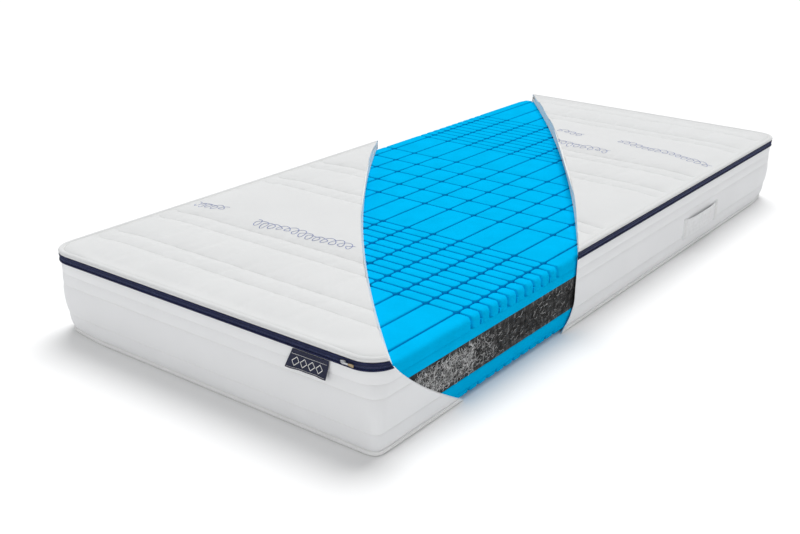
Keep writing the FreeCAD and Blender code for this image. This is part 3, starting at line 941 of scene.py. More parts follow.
def rounded_sheet(name, xs, ys, depths, height, sink=0.0):
    """A face with rounded corners: a grid inside, and rings of points out to its edge.

    depths are the rings' insets from the band's face, and the rings lie inwards by sink too.
    height(plan, ring) gives Z less the sink. ring is the number of the ring, or None inside.
    """
    across, along = np.meshgrid(xs, ys, indexing="ij")
    inner = np.stack([across.ravel(), along.ravel()], axis=1)
    faces = strip_faces(len(xs), len(ys), False)
    columns = Columns(xs, ys, 9)
    stand = np.vstack([columns.stand, columns.stand[:1]])
    look = np.vstack([columns.look, columns.look[:1]])
    rings = []
    for ring, depth in enumerate(depths):
        plan = stand + look * (BAND_CORNER - depth - sink)
        rings.append(np.column_stack([plan, height(plan, ring) - sink]))
    first = len(inner)
    for a, b, c, d in strip_faces(len(stand), len(depths), False):
        faces.append((a + first, d + first, c + first, b + first))
    inner = np.column_stack([inner, height(inner, None) - sink])
    mesh = mesh_of(name, np.vstack([inner, np.stack(rings, axis=1).reshape(-1, 3)]), faces)
    with editing(mesh, outwards=False) as bm:
        bmesh.ops.remove_doubles(bm, verts=bm.verts[:], dist=5e-6)
        bmesh.ops.recalc_face_normals(bm, faces=bm.faces[:])
        top = max(bm.faces, key=lambda f: f.calc_center_median().z)
        if top.normal.z < 0:
            bmesh.ops.reverse_faces(bm, faces=bm.faces[:])
    return mesh


def panel_mesh(name, xs, ys, sink=0.0):
    """The panel's face from its tucked-in edge to its middle, sunk by a depth all over."""
    rows = ROLL[::-1]

    def height(plan, ring):
        if ring is None:
            return panel_height(plan, from_edge(*plan.T), PANEL_RISE)
        depth, rise = rows[ring]
        return panel_height(plan, np.full(len(plan), depth), rise)

    return rounded_sheet(name, xs, ys, rows[:, 0], height, sink)


def flat_mesh(name, inset, level, step, ys=None):
    """A flat rounded sheet with a regular grid inside."""
    half_x, half_y = HALF_WIDTH - BAND_CORNER, HALF_LENGTH - BAND_CORNER
    xs = spaced(-half_x, half_x, step)
    ys = spaced(-half_y, half_y, step) if ys is None else ys
    depths = spaced(BAND_CORNER, inset, step)
    return rounded_sheet(name, xs, ys, depths, lambda plan, ring: np.full(len(plan), level))


def fill_below(mesh, level, inset, step, ys):
    """Closes a panel with a wall down to a flat underside at a level."""
    with editing(mesh) as bm:
        bm.from_mesh(flat_mesh("underside", inset, level, step, ys))
        bmesh.ops.bridge_loops(bm, edges=[e for e in bm.edges if e.is_boundary])


STITCH_PATH = [(-1.7, 0, -0.3), (-0.9, 0, 0.2), (0.9, 0, 0.2), (1.7, 0, -0.3)]
STITCH = template_object(
    "stitch", tube_mesh("stitch", [Vector(p) * MM for p in STITCH_PATH], 0.42 * MM, 4)
)


def stitched(name, lines, body, pitch=4.6 * MM):
    """White stitches in a row along each line."""
    path = edge_mesh(name, lines)
    mesh = grown(ROWS, path, Part=STITCH, Pitch=pitch, Up=(0, 0, 1), Material=FINISH["thread"])
    return finished(name, mesh, body, "thread")


def ribbon(name, path, normal, width):
    """A thin ribbon along a path, lying square to the normals."""
    along = np.gradient(path, axis=0)
    side = np.cross(normal, along)
    side *= width / 2 / np.linalg.norm(side, axis=1)[:, None]
    points = np.stack([path + side, path - side], axis=1).reshape(-1, 3)
    faces = [(a, a + 1, a + 3, a + 2) for a in range(0, 2 * len(path) - 2, 2)]
    return mesh_of(name, points, faces)


def on_panel(x, y, lift):
    """Points on the top panel's face, lifted off it."""
    plan = np.column_stack([x, y])
    reach = from_edge(x, y)
    rise = np.interp(reach, *ROLL[4:].T)
    return np.column_stack([plan, panel_height(plan, reach, rise) + lift])


# printed scrolls: end, start, stop, number of loops, height in millimetres
SCROLLS = (
    ("foot", (-0.207, -0.611), (0.078, -0.608), 13, 42),
    ("foot", (-0.425, -0.592), (-0.318, -0.596), 5, 38),
    ("head", (-0.030, 0.463), (0.150, 0.453), 8, 42),
    ("head", (-0.080, 0.570), (0.010, 0.567), 4, 40),
    ("head", (0.122, 0.573), (0.422, 0.518), 14, 44),
)


def scroll_print(name, end, start, stop, turns, height, seed):
    """A printed row of small uneven loops across the panel."""
    start, stop = np.array(start), np.array(stop)
    across = stop - start
    up = np.array([-across[1], across[0]]) / np.linalg.norm(across)
    share = np.linspace(0, 1, turns * 16)
    turn = math.tau * turns * share
    swell = 0.6 + 0.28 * np.sin(5.3 * turns * share + seed) + 0.12 * np.sin(17 * share + 2 * seed)
    forward = share + 0.55 / turns * np.sin(turn)
    path = start + across * forward[:, None] + up * (height / 2 * swell * np.cos(turn))[:, None]
    spots = on_panel(path[:, 0], path[:, 1], 0.35 * MM)
    mesh = ribbon(name, spots, np.tile((0.0, 0.0, 1.0), (len(spots), 1)), 1.9 * MM)
    return finished(name, mesh, UPPER[end], "print")


def make_top_cover():
    """The top panel: ticking, padding, the lines of stitches, and the printed scrolls."""
    half_x = HALF_WIDTH - BAND_CORNER
    xs, ys = spaced(-half_x, half_x, PANEL_STEP), panel_rows()
    face = panel_mesh("ticking", xs, ys)
    ticking = cover_pieces("top_ticking", face, UPPER, "ticking", False, thickness=TICKING_THICK)
    filling = panel_mesh("wadding", xs, ys, PADDING_SINK)
    fill_below(filling, CORE_TOP + 1.2 * MM, 11 * MM, 16 * MM, ys)
    wadding = cover_pieces("top_wadding", filling, UPPER, "wadding", sharp=40)
    declare_sheets(ticking, TOP_LEVEL)

    across = spaced(-HALF_WIDTH + 16 * MM, HALF_WIDTH - 16 * MM, 8 * MM)
    lines = [on_panel(across, np.full_like(across, y), 0.1 * MM) for y in QUILT_LINES]
    plan = even_columns(8 * MM).at(ROLL_VALLEY)
    inset, rise = (np.full(len(plan), value) for value in (ROLL_VALLEY, VALLEY_RISE))
    lines.append(np.column_stack([plan, panel_height(plan, inset, rise)]))
    for end in ("foot", "head"):
        runs = [run for line in lines for run in runs_on(end, line, STITCH_MARGIN)]
        stitched(f"{end}_panel_stitches", runs, UPPER[end])
    for index, (end, start, stop, turns, height) in enumerate(SCROLLS):
        name = f"{end}_scroll_print_{index}"
        scroll_print(name, end, start, stop, turns, height * MM, 0.7 * index)


# ------------------------------------------------------------------ flat linings and bottom
def make_linings():
    """Fleece linings under the padding."""
    sheet = flat_mesh("lining", 9.5 * MM, CORE_TOP + 1.0 * MM, 12 * MM)
    pieces = cover_pieces("top_lining", sheet, UPPER, "lining", False, thickness=LINING_THICK)
    declare_sheets(pieces, TOP_LEVEL)


def make_bottom_panels():
    """Thin quilted panels under the core, with diagonal lines drawn up from the floor."""
    sheet = flat_mesh("bottom", 9 * MM, 3.2 * MM, 10 * MM)
    points = np.array([v.co for v in sheet.vertices])
    diamond = 110 * MM
    for sign in (1, -1):
        phase = (points[:, 0] + sign * points[:, 1]) / diamond
        away = np.abs(phase - np.round(phase)) * diamond
        points[:, 2] += 0.35 * MM * np.exp(-away / (8 * MM))
    tuck_mesh(sheet, points)
    pieces = cover_pieces("bottom_panel", sheet, LOWER, "bottom", False, thickness=BOTTOM_THICK)
    declare_sheets(pieces, BOTTOM_LEVEL)


# ------------------------------------------------------------------ border
BORDER_FACE = 5.0 * MM
BORDER_BACK = 8.4 * MM
BORDER_LEAN = 7 * MM


def border_inset(z, run):
    """How far the border's face stands in from the band's face, for one height at each column."""
    bounds = np.concatenate([[6 * MM], BORDER_SEAMS, [BORDER_TOP + 2 * MM]])
    _, length, share = in_field(bounds, z)
    full = min(3.0 * MM, 0.06 * length)
    swell = full * (4 * share * (1 - share)) ** 0.6
    spots = on_side(run, z)
    soft = ripple(spots, 0.20, 5) * 0.9 * MM + ripple(spots, 0.05, 6) * 0.3 * MM
    pinch = np.exp(-min(abs(z - seam) for seam in BORDER_SEAMS) / (9 * MM))
    soft = soft + ripple(on_side(run, z * 0.3), 0.013, 7) * 0.4 * MM * pinch
    edge = smooth(min(z, BORDER_TOP - z) / (20 * MM))
    return BORDER_FACE - swell + BORDER_LEAN * lean(z) + soft * edge


def border_levels():
    """Heights of the border's rows, close together beside the seams."""
    rows = [1 * MM, 2.5 * MM, BORDER_TOP - 1 * MM, BORDER_TOP - 2.5 * MM]
    rows += list(spaced(0, BORDER_TOP, 5 * MM))
    for seam in BORDER_SEAMS:
        rows += [seam + side * d * MM for side in (1, -1) for d in (0, 0.8, 2, 4)]
    return thinned(rows, lambda z: 0.7 * MM, 0, BORDER_TOP)


def make_border():
    """The padded side band, with its lower seams stitched."""
    columns = even_columns(4.5 * MM, 20)
    levels = border_levels()
    outer = np.stack([border_inset(z, columns.run) for z in levels], axis=1)
    back_levels = levels[::-4]
    back = BORDER_BACK + BORDER_LEAN * lean(np.array(back_levels))
    inset = np.concatenate([outer, np.tile(back, (len(columns.run), 1))], axis=1)
    ring = swept("border", columns, inset, np.array(levels + back_levels))
    tuck_mesh(ring)
    pieces = cover_pieces("border", ring, LOWER, "border")
    for end, piece in pieces.items():
        runs = []
        for seam in BORDER_SEAMS[:2]:
            face = border_inset(seam, columns.run) - 0.15 * MM
            line = np.column_stack([columns.at(face), np.full(len(face), seam)])
            runs += runs_on(end, tucked(line), STITCH_MARGIN)
        stitched(f"{end}_border_stitches", runs, "lower_cover", 5.2 * MM)


def make_binding():
    """White tape folded over the border's lower edge."""
    low, high = 0.4 * MM, 10.6 * MM
    turn = np.linspace(-math.pi / 2, math.pi / 2, 9)
    level = (low + high) / 2 + (high - low) / 2 * np.sin(turn)
    foot = 3 * MM * lean(level)
    outer = 6.0 * MM - 4.6 * MM * np.cos(turn) ** 0.7 + foot
    inset = np.concatenate([outer, [9.0 * MM + foot[-1], 9.0 * MM + foot[0]]])
    height = np.concatenate([level, [high - 0.3 * MM, low + 0.3 * MM]])
    ring = swept("binding", even_columns(6 * MM, 16), inset, height)
    tuck_mesh(ring)
    cover_pieces("bottom_binding", ring, LOWER, "binding")


# ------------------------------------------------------------------ zip band
UPPER_TAPE = 4.5 * MM
PIPING_RADIUS, PIPING_INSET = 2.05 * MM, 2.1 * MM
TAPE_FACE, TAPE_BACK, TAPE_SOFT = 2.5 * MM, 3.7 * MM, 0.25 * MM
COIL_INSET = 2.0 * MM
TAPE_GAP = 0.05 * MM
COIL_PITCH = 1.5 * MM
COIL_HEIGHT = 1.4 * MM


def round_section(middle, height, radius, sides=12):
    """A round section: insets and heights."""
    turn = np.linspace(0, math.tau, sides, endpoint=False)
    return middle + radius * np.cos(turn), height + radius * np.sin(turn)


def box_section(outer, inner, low, high, soft):
    """An upright strip's section with softened corners."""
    return (
        np.array([outer + soft, outer, outer, outer + soft, inner - soft, inner, inner, inner - soft]),
        np.array([low, low + soft, high - soft, high, high, high - soft, low + soft, low]),
    )


def tooth_mesh(height):
    """One turn of the zip's coil: a rounded loop that stands on the tape."""
    reach = 0.55 * MM
    path = [
        (0.25 * MM, 0.5 * MM, 0.0),
        (0.2 * MM, -reach, 0.12 * MM),
        (0.0, -reach * 1.35, height / 2),
        (-0.2 * MM, -reach, height - 0.12 * MM),
        (-0.25 * MM, 0.5 * MM, height),
    ]
    return tube_mesh("tooth", path, 0.34 * MM, 5)


def make_zip_band():
    """Piping, tape and coil of the zip's lower and upper halves."""
    columns, fine = even_columns(6 * MM, 16), even_columns(3 * MM, 24)
    turn = template_object("coil_turn", tooth_mesh(COIL_HEIGHT))
    upper_top, upper_middle = ZIP_LINE + UPPER_TAPE, (PANEL_EDGE + ZIP_LINE + UPPER_TAPE) / 2
    for level, bodies, cord_height, low, high, base in (
        ("lower", LOWER, (BORDER_TOP + CORE_TOP) / 2, CORE_TOP, ZIP_LINE, ZIP_LINE - 1.52 * MM),
        ("upper", UPPER, upper_middle, ZIP_LINE, upper_top, ZIP_LINE + 0.12 * MM),
    ):
        cord = swept("piping", columns, *round_section(PIPING_INSET, cord_height, PIPING_RADIUS))
        cover_pieces(level + "_piping", cord, bodies, "piping")
        section = box_section(TAPE_FACE, TAPE_BACK, low + TAPE_GAP, high - TAPE_GAP, TAPE_SOFT)
        strip = swept("tape", columns, *section)
        cover_pieces(level + "_zip_tape", strip, bodies, "zip_tape")
        line = np.column_stack([fine.at(COIL_INSET), np.full(len(fine.run), base)])
        for end in ("foot", "head"):
            path = edge_mesh("coil_path", runs_on(end, line, COIL_MARGIN))
            values = {"Pitch": COIL_PITCH, "Up": (0, 0, 1), "Material": FINISH["zip_coil"]}
            coil = grown(ROWS, path, Part=turn, **values)
            node = f"{end}_{level}_zip_coil"
            finished(node + "_turns", coil, bodies[end], "zip_coil", [node])


# ------------------------------------------------------------------ foam
CHANNEL = 4.2 * MM
CHANNEL_PITCH = 73.3 * MM
PLAN_ROUND = 9.0 * MM
SHOULDER = 10 * MM
SLAB_SOFT = 1.2 * MM
# how far the whole sheet and the webs reach into the blocks
SEAT = 0.4 * MM
# Y of the wide cuts across the middle, and in millimetres the first close cut and their pitch
WIDE_CUTS = (0.0, 90 * MM, 180 * MM)
CLOSE_START, CLOSE_PITCH, CLOSE_CUTS = 353, 33.7, 11
CORE_INSET = HALF_WIDTH - CORE_HIGH.x
CORE_CORNER = BAND_CORNER - CORE_INSET


def cross_cuts():
    """(Y, shallow or not) of each cut across the foam, from foot to head."""
    cuts = [(y, False) for y in WIDE_CUTS]
    for step in range(CLOSE_CUTS):
        cuts.append(((CLOSE_START + CLOSE_PITCH * step) * MM, step % 2 == 1))
    return sorted([(-y, s) for y, s in cuts if y] + cuts)


def carrying(mesh, rows):
    """Gives a mesh's points named vectors for a node tree to read."""
    for name, values in rows.items():
        layer = mesh.attributes.new(name, "FLOAT_VECTOR", "POINT")
        layer.data.foreach_set("vector", np.array(values, np.float32).ravel())
    return mesh


def block_template(side_points):
    """A block as corner signs and offsets: upright corners rounded in plan, one end bevelled."""
    arc_points, bevels = 4, 3
    signs = ((1, 1), (-1, 1), (-1, -1), (1, -1))
    around = []
    for index, (sx, sy) in enumerate(signs):
        for step in range(arc_points):
            a = math.pi / 2 * (index + step / (arc_points - 1))
            around.append((sx, sy, math.cos(a), math.sin(a)))
        nx, ny = signs[(index + 1) % 4]
        a = math.pi / 2 * (index + 1)
        for step in range(1, side_points + 1):
            t = step / (side_points + 1)
            around.append((sx + (nx - sx) * t, sy + (ny - sy) * t, math.cos(a), math.sin(a)))
    rings = [(-1, 0.0, 0.0)]
    for step in range(bevels + 1):
        a = math.pi / 2 * step / bevels
        rings.append((1, 1 - math.cos(a), 1 - math.sin(a)))
    corner, bend, bevel = [], [], []
    for end, inward, down in rings:
        for sx, sy, cx, cy in around:
            corner.append((sx, sy, end))
            bend.append((cx, cy, 0))
            bevel.append((-cx * inward, -cy * inward, -down))
    faces = ring_faces(len(rings), len(around))
    mesh = mesh_of("foam_block", [Vector(c) * 0.01 for c in corner], faces)
    return carrying(mesh, {"corner": corner, "bend": bend, "bevel": bevel})


def foam_spans():
    """(low, high, side) of each block across and along, where side is -1 or 1 at an outer edge."""
    channels = [(k + 0.5) * CHANNEL_PITCH for k in range(-6, 6)]
    spans = []
    for half, cuts in ((CORE_HIGH.x, channels), (CORE_HIGH.y, [y for y, _ in cross_cuts()])):
        starts = [-half] + [c + CHANNEL / 2 for c in cuts]
        ends = [c - CHANNEL / 2 for c in cuts] + [half]
        sides = [-1] + [0] * (len(cuts) - 1) + [1]
        spans.append(list(zip(starts, ends, sides)))
    return spans


PLAIN_BLOCK = template_object("foam_block_template", block_template(0))
END_BLOCK = template_object("foam_end_block_template", block_template(9))


def block_points(cells, face, web, edge_round, outward):
    """The points mesh that carries each block's middle, size and rounding."""
    rows = {"middle": [], "half_size": [], "outside": []}
    for (x0, x1, side_x), (y0, y1, side_y) in cells:
        rows["middle"].append(((x0 + x1) / 2, (y0 + y1) / 2, (face + web) / 2))
        rows["half_size"].append(((x1 - x0) / 2, (y1 - y0) / 2, (face - web) / 2))
        rows["outside"].append((side_x, side_y, 0))
    count = len(cells)
    rows["plan_round"] = [(PLAN_ROUND, PLAN_ROUND, 0)] * count
    rows["edge_round"] = [(edge_round, edge_round, edge_round * outward)] * count
    rows["shoulder"] = [(SHOULDER, SHOULDER, SHOULDER * outward)] * count
    mesh = bpy.data.meshes.new("foam_cells")
    mesh.from_pydata(rows["middle"], [], [])
    return carrying(mesh, rows)


def add_slab(bm, low, high):
    """A whole foam sheet with the core's rounded plan and softened edges."""
    columns = even_columns(12 * MM, 10)
    soft = SLAB_SOFT
    rings = []
    for extra, z in ((soft, low), (0, low + soft), (0, high - soft), (soft, high)):
        rings.append([bm.verts.new((x, y, z)) for x, y in columns.at(CORE_INSET + extra)])
    for below, above in zip(rings, rings[1:]):
        for i in range(len(below)):
            j = (i + 1) % len(below)
            bm.faces.new((below[i], below[j], above[j], above[i]))
    bm.faces.new(rings[0][::-1])
    bm.faces.new(rings[-1])


def add_bar(bm, low, high):
    """An uncut web of foam under a shallow cut."""
    for v in bmesh.ops.create_cube(bm, size=1)["verts"]:
        v.co = Vector([a if c < 0 else b for c, a, b in zip(v.co, low, high)])


def foam_layer(node, face_up, depth, shallow, edge_round):
    """A foam layer with its blocks on one face and a whole sheet behind them."""
    low, high = (corner.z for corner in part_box(node))
    face, outward = (high, 1) if face_up else (low, -1)
    web = face - depth * outward
    across, along = foam_spans()
    plain, ends = [], []
    for column in across:
        for row in along:
            group = ends if column in across[:2] + across[-2:] and row[2] else plain
            group.append((column, row))
    layer = bpy.data.meshes.new("foam_layer")
    with editing(layer, outwards=False) as bm:
        for cells, template in ((plain, PLAIN_BLOCK), (ends, END_BLOCK)):
            mesh = block_points(cells, face, web, edge_round, outward)
            bm.from_mesh(grown(BLOCKS, mesh, Template=template, Material=FINISH["foam"]))
        if not face_up:
            bmesh.ops.reverse_faces(bm, faces=bm.faces[:])
        for v in bm.verts:
            over_x = abs(v.co.x) - (CORE_HIGH.x - CORE_CORNER)
            over_y = abs(v.co.y) - (CORE_HIGH.y - CORE_CORNER)
            if over_x > 0 and over_y > 0:
                pull = min(1, CORE_CORNER / math.hypot(over_x, over_y))
                v.co.x = math.copysign(CORE_HIGH.x - CORE_CORNER + over_x * pull, v.co.x)
                v.co.y = math.copysign(CORE_HIGH.y - CORE_CORNER + over_y * pull, v.co.y)

        add_slab(bm, *((low, web + SEAT) if face_up else (web - SEAT, high)))
        bottom, top = sorted((web, face - shallow * outward))
        for y in [y for y, is_shallow in cross_cuts() if is_shallow]:
            for x0, x1, _ in across:
                add_bar(bm, (x0, y - CHANNEL / 2 - SEAT, bottom), (x1, y + CHANNEL / 2 + SEAT, top))
    tuck_mesh(layer)
    piece = finished("slotted_" + node, layer, "core", "foam", [node], 50)


# ------------------------------------------------------------------ fibre pad
# strands: name, finish, length, wave, spin, number per square metre, and where along the side
STRANDS = (
    ("dark", "strand", 20.0, 1.2, 0.35, 22000.0, -0.92, -0.25),
    ("pale", "pale_strand", 17.0, 3.2, 1.3, 52000.0, -0.88, -0.68),
    ("thin", "pale_strand", 17.0, 3.2, 1.3, 14000.0, -0.68, -0.60),
    ("loose", "pale_strand", 14.0, 1.6, 0.5, 3500.0, -0.91, -0.30),
)


STRAND_RADIUS = 0.32 * MM
STRAND_ARCH = 1.4


def make_fibre_pad():
    """The fibre pad with a rough side, and strands scattered over its long sides."""
    inset = HALF_WIDTH - PAD_HIGH.x
    columns = even_columns(7 * MM, 10)
    levels = spaced(PAD_LOW.z, PAD_HIGH.z, 5 * MM)
    rows = []
    for z in levels:
        spots = on_side(columns.run, z * 0.25)
        rough = ripple(spots, 0.010, 8) * 0.7 * MM + ripple(spots, 0.035, 9) * 0.7 * MM
        rows.append(inset + 1.0 * MM - rough)
    side = swept("pad", columns, np.stack(rows, axis=1), levels, closed=False)
    count, last = len(levels), len(columns.run) - 1
    with editing(side) as bm:
        bm.verts.ensure_lookup_table()
        for row in range(count - 1):
            a, b = last * count + row, last * count + row + 1
            bm.faces.new([bm.verts[i] for i in (a, row, row + 1, b)])
        for row in (0, count - 1):
            bm.faces.new([bm.verts[c * count + row] for c in range(last + 1)])
    tuck_mesh(side)
    pad = finished("charcoal_fibre_pad", side, "core", "fibre", ["fibre_pad"], 60)

    for name, finish, length, wave, spin, density, low, high in STRANDS:
        path = []
        for t in np.linspace(-0.5, 0.5, 7):
            lift = STRAND_ARCH - 5.0 * t**2
            path.append(Vector((length * t, wave * math.sin(t * 6.5), lift)) * MM)
        strand = template_object(name + "_curl", tube_mesh("curl", path, STRAND_RADIUS, 3))
        ys = spaced(low, high, 20 * MM)
        zs = spaced(PAD_LOW.z + 9 * MM, PAD_HIGH.z - 9 * MM, 15 * MM)
        for side_name, sign in (("near", 1), ("far", -1)):
            points = [(sign * (PAD_HIGH.x - 0.9 * MM), y, z) for y in ys for z in zs]
            faces = [face[::sign] for face in strip_faces(len(ys), len(zs), False)]
            skin = mesh_of("skin", points, faces)
            values = {"Strand": strand, "Density": density, "Spin": spin, "Seed": 3}
            curls = grown(CURLS, skin, Material=FINISH[finish], **values)
            finished(f"{side_name}_{name}_strands", curls, "core", finish)


# ------------------------------------------------------------------ handles
STRAP_BACK = 0.9 * MM
STRAP_FRONT = 0.5 * MM
TAB_LENGTH = 18 * MM
TAB_DEPTH = 4 * MM
TAB_PROUD = 2.6 * MM
TAB_STITCHES = ((3.2, 3.2), (14.8, 3.2), (14.8, 52.8), (3.2, 52.8), (3.2, 3.2))


def rounded_block(name, low, high, cuts, power):
    """A block whose edges and corners are rounded off; a higher power leaves it squarer."""
    mesh = bpy.data.meshes.new(name)
    middle, half = (low + high) / 2, (high - low) / 2
    with editing(mesh, outwards=False) as bm:
        bmesh.ops.create_cube(bm, size=2)
        bmesh.ops.subdivide_edges(bm, edges=bm.edges[:], cuts=cuts, use_grid_fill=True)
        for v in bm.verts:
            spread = sum(abs(c) ** power for c in v.co) ** (1 / power)
            v.co = Vector([m + h * c / spread for m, h, c in zip(middle, half, v.co)])
    return mesh


def strap_mesh(ys, zs, ends, face, reach, sign):
    """Ribbed webbing from its back to its front, bowed outwards between its sewn ends."""
    share = (ys - ends[0]) / (ends[1] - ends[0])
    bow = reach * smooth(np.minimum(share, 1 - share) / 0.3) ** 0.8
    ridge = 0.9 * MM * np.abs(np.sin((zs - zs[0]) / (zs[-1] - zs[0]) * math.pi * 4))
    edge = 0.5 * MM * smooth(1 - np.minimum(zs - zs[0], zs[-1] - zs) / (2 * MM))
    points = []
    for y, out in zip(ys, bow):
        ring = [(face + out + STRAP_FRONT + r - e, y, z) for z, r, e in zip(zs, ridge, edge)]
        back = [(face + out - STRAP_BACK + e, y, z) for z, e in zip(zs, edge)]
        points += [(x * sign, y, z) for x, y, z in ring + back[::-1]]
    rows = 2 * len(zs)
    faces = strip_faces(len(ys), rows, True)
    faces.append(tuple(range(rows)))
    faces.append(tuple(range(len(points) - rows, len(points)))[::-1])
    return facing_out(mesh_of("strap", points, faces))


def make_tab(name, node, face, sign, y0, z_low, z_high):
    """A ribbed patch over a strap's end, sewn down along a box and its diagonals."""
    corner = Vector((face - TAB_DEPTH, y0, z_low))
    size = Vector((TAB_DEPTH + TAB_PROUD, TAB_LENGTH, z_high - z_low))
    tab = rounded_block("tab", corner, corner + size, 9, 9)
    for v in tab.vertices:
        v.co.x += 0.35 * MM * abs(math.sin((v.co.y - y0) / TAB_LENGTH * math.pi * 4))
        v.co.x *= sign
    finished(name, facing_out(tab), "lower_cover", "webbing", [node], 50)
    x = (face + 3.0 * MM) * sign
    box = [np.array((x, y0 + a * MM, z_low + b * MM)) for a, b in TAB_STITCHES]
    lines = [box, [box[0], box[2]], [box[1], box[3]]]
    stitched(name + "_stitches", lines, "lower_cover", 3.8 * MM)


def make_handles():
    """Ribbed webbing straps, sewn down at both ends under small stitched tabs."""
    for side_name, sign in (("near", 1), ("far", -1)):
        low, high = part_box(side_name + "_handle_strap")
        tabs_low, tabs_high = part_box(side_name + "_handle_tabs")
        face = HALF_WIDTH - 1.6 * MM
        reach = 0.6 * (max(abs(low.x), abs(high.x)) - face - STRAP_BACK)
        ends = (tabs_low.y + 8 * MM, tabs_high.y - 8 * MM)
        middle = (ends[0] + ends[1]) / 2
        zs = spaced(low.z, high.z, 1 * MM)
        for half_name, span, outside, y0 in (
            ("foot", (ends[0], middle), low.y, tabs_low.y),
            ("head", (middle, ends[1]), high.y, tabs_high.y - TAB_LENGTH),
        ):
            mesh = strap_mesh(spaced(*span, 3 * MM), zs, ends, face, reach, sign)
            name = f"{side_name}_{half_name}_half_strap"
            node = side_name + "_handle_strap"
            strap = finished(name, mesh, None, "webbing", [node], 50)
            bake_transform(strap)
            name = f"{side_name}_{half_name}_strap_tab"
            make_tab(name, side_name + "_handle_tabs", face, sign, y0, tabs_low.z, tabs_high.z)


# ------------------------------------------------------------------ label, slider and pull
def make_label():
    """A satin label that hangs from the band, its lower edge swung aside and a little proud."""
    low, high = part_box("woven_label")
    width, drop = high.x - low.x, high.z - low.z

    def at(u, v, lift):
        """A place on the label: u runs along it, v runs down it."""
        u, v = np.asarray(u, float), np.asarray(v, float)
        curl = 1.2 * MM * np.sin(u * 7 + 1) * v**2 + 0.7 * MM * np.sin(u * 15) * v
        x = low.x + width * u + 14 * MM * (1 - u) * (1 - v) ** 1.2 - 3 * MM * u * v
        y = low.y - 0.2 * MM - 5.5 * MM * v**1.6 - curl - lift
        return np.stack([x, y, high.z - drop * v + 1.5 * MM * u * v], axis=-1)

    us, vs = np.linspace(0, 1, 45), np.linspace(0, 1, 19)
    grid_u, grid_v = np.meshgrid(us, vs, indexing="ij")
    points = at(grid_u.ravel(), grid_v.ravel(), 0.0)
    cloth = mesh_of("label", points, strip_faces(len(us), len(vs), False))
    if cloth.polygons[0].normal.y > 0:
        cloth.flip_normals()
    cloth = thickened(cloth, 0.8 * MM)
    slot, proud = "label_cloth", 0.25 * MM
    label = finished("hanging_label", cloth, "label", "label", ["woven_label"], 50)
    line = np.linspace(0.03, 0.97, 40)
    marks = [(at(line, np.full(40, v), proud), wide) for v, wide in ((0.24, 0.6), (0.93, 0.5))]
    quarter = np.arange(5) * math.pi / 2
    for step in range(4):
        turn = np.linspace(0, 4, 33)
        u = np.interp(turn, range(5), 0.2 + 0.2 * step + 0.085 * np.cos(quarter))
        v = np.interp(turn, range(5), 0.585 + 0.23 * np.sin(quarter))
        marks.append((at(u, v, proud), 1.3))
    mesh = bpy.data.meshes.new("marks")
    with editing(mesh, outwards=False) as bm:
        for path, wide in marks:
            normal = np.tile((0.0, -1.0, 0.0), (len(path), 1))
            bm.from_mesh(ribbon("mark", path, normal, wide * MM))
    lozenges = finished("label_lozenges", mesh, "label", "thread")


def make_slider():
    """The zip's slider: a waisted plate with a bridge over it."""
    low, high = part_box("zip_slider")
    front = low.y + 2.4 * MM
    middle = (low.z + high.z) / 2
    mesh = bpy.data.meshes.new("slider")
    with editing(mesh) as bm:
        bm.from_mesh(rounded_block("plate", Vector((low.x, front, low.z)), high.copy(), 7, 5))
        for v in bm.verts:
            along = (v.co.x - low.x) / (high.x - low.x)
            waist = 1 - 0.24 * smooth((0.62 - along) / 0.5) + 0.04 * math.sin(along * math.pi)
            v.co.z = middle + (v.co.z - middle) * waist
        path = []
        for turn in np.linspace(0, math.pi, 9):
            x = (low.x + high.x) / 2 - 4.2 * MM * math.cos(turn)
            path.append((x, front + 0.6 * MM - 2.2 * MM * math.sin(turn) ** 0.6, middle))
        bm.from_mesh(tube_mesh("bridge", path, 0.8 * MM, 8))
    finished("zip_slider_body", mesh, "slider", "metal", ["zip_slider"], 50)


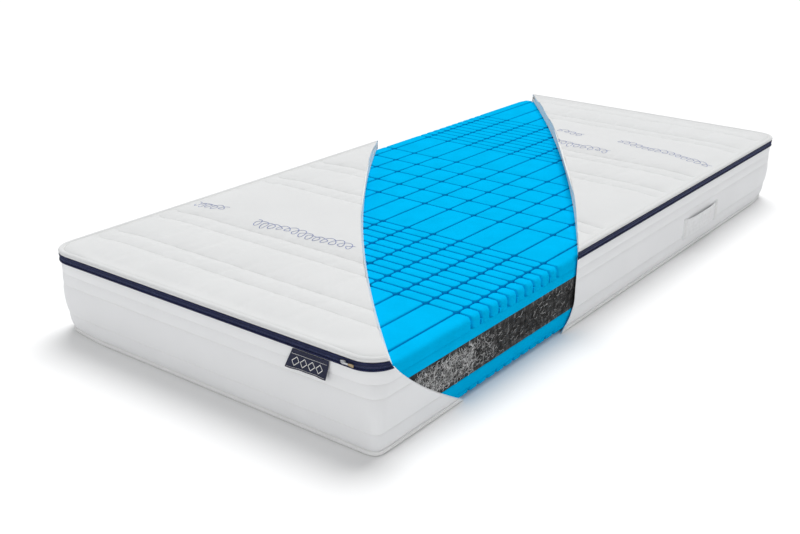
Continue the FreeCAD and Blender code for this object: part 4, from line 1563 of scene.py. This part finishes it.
def make_pull():
    """The pull that lies along the band: an eye, a shank and a flat grip, dished on both sides."""
    low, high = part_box("zip_pull")
    y, z = (low.y + high.y) / 2, (low.z + high.z) / 2
    half_height = (high.z - low.z) / 2
    eye = []
    for turn in np.linspace(0.25, math.tau - 0.25, 20):
        x = low.x + 3.4 * MM - 2.7 * MM * math.cos(turn)
        eye.append((x, y, z + 2.4 * MM * math.sin(turn)))
    neck = Vector((low.x + 5 * MM, y - 0.7 * MM, z - 0.55 * half_height))
    shank = Vector((low.x + 17 * MM, y + 0.7 * MM, z + 0.55 * half_height))
    mesh = bpy.data.meshes.new("pull")
    with editing(mesh) as bm:
        bm.from_mesh(tube_mesh("eye", eye, 0.7 * MM, 8))
        bm.from_mesh(rounded_block("shank", neck, shank, 7, 6))
    finished("zip_pull_shank", mesh, "pull", "metal", ["zip_pull"], 50)
    start = Vector((low.x + 14.5 * MM, y - 1.2 * MM, low.z + 0.4 * MM))
    stop = Vector((high.x, y + 1.2 * MM, high.z - 0.4 * MM))
    grip = rounded_block("grip", start, stop, 11, 4)
    for v in grip.vertices:
        along = (v.co.x - start.x) / (stop.x - start.x)
        v.co.z = z + (v.co.z - z) * (0.72 + 0.28 * smooth(along * 1.6))
        dish = 0.35 * MM * math.sin(math.pi * min(1, max(0, along))) ** 2
        v.co.y += dish if v.co.y < y else -dish
    finished("zip_pull_grip", grip, "pull", "brass")


make_top_cover()
make_linings()
make_bottom_panels()
make_border()
make_binding()
make_zip_band()
foam_layer("top_foam", face_up=True, depth=25 * MM, shallow=15 * MM, edge_round=2.4 * MM)
foam_layer("bottom_foam", face_up=False, depth=14 * MM, shallow=8 * MM, edge_round=7.0 * MM)
make_fibre_pad()
make_handles()
make_label()
make_slider()
make_pull()


# ------------------------------------------------------------------ floor and light
FLOOR_REACH = 150
# name, where it shines from, spread in degrees, strength
SUNS = (
    ("key_light", (-0.45, 1.0, 1.95), 38, 2.5),
    ("front_light", (-1.4, -4.0, 1.4), 60, 0.55),
    ("side_light", (4.0, -1.2, 1.4), 60, 0.42),
)


def make_studio():
    """A pale floor, a bright sky and three soft suns."""
    corners = [(x * FLOOR_REACH, y * FLOOR_REACH, 0) for x, y in ((-1, -1), (1, -1), (1, 1), (-1, 1))]
    floor = mesh_of("floor", corners, [(0, 1, 2, 3)])
    pale = textured("pale_floor", (0.92,) * 3, 0.9, "Object", [], (0.5, 2), (0.995, 1.005))
    floor.materials.append(pale)
    linked("floor", floor)

    world = bpy.data.worlds.new("studio")
    world.use_nodes = True
    sky = world.node_tree.nodes["Background"]
    sky.inputs["Color"].default_value = (0.98, 0.99, 1.0, 1)
    sky.inputs["Strength"].default_value = 0.40
    bpy.context.scene.world = world

    for name, place, spread, strength in SUNS:
        lamp = bpy.data.lights.new(name, "SUN")
        lamp.energy = strength
        lamp.angle = math.radians(spread)
        light = linked(name, lamp)
        light.location = place
        light.rotation_mode = "QUATERNION"
        light.rotation_quaternion = Vector(place).to_track_quat("Z", "Y")
    bpy.context.scene.view_settings.view_transform = "Standard"
    bpy.context.scene.view_settings.look = "None"


make_studio()
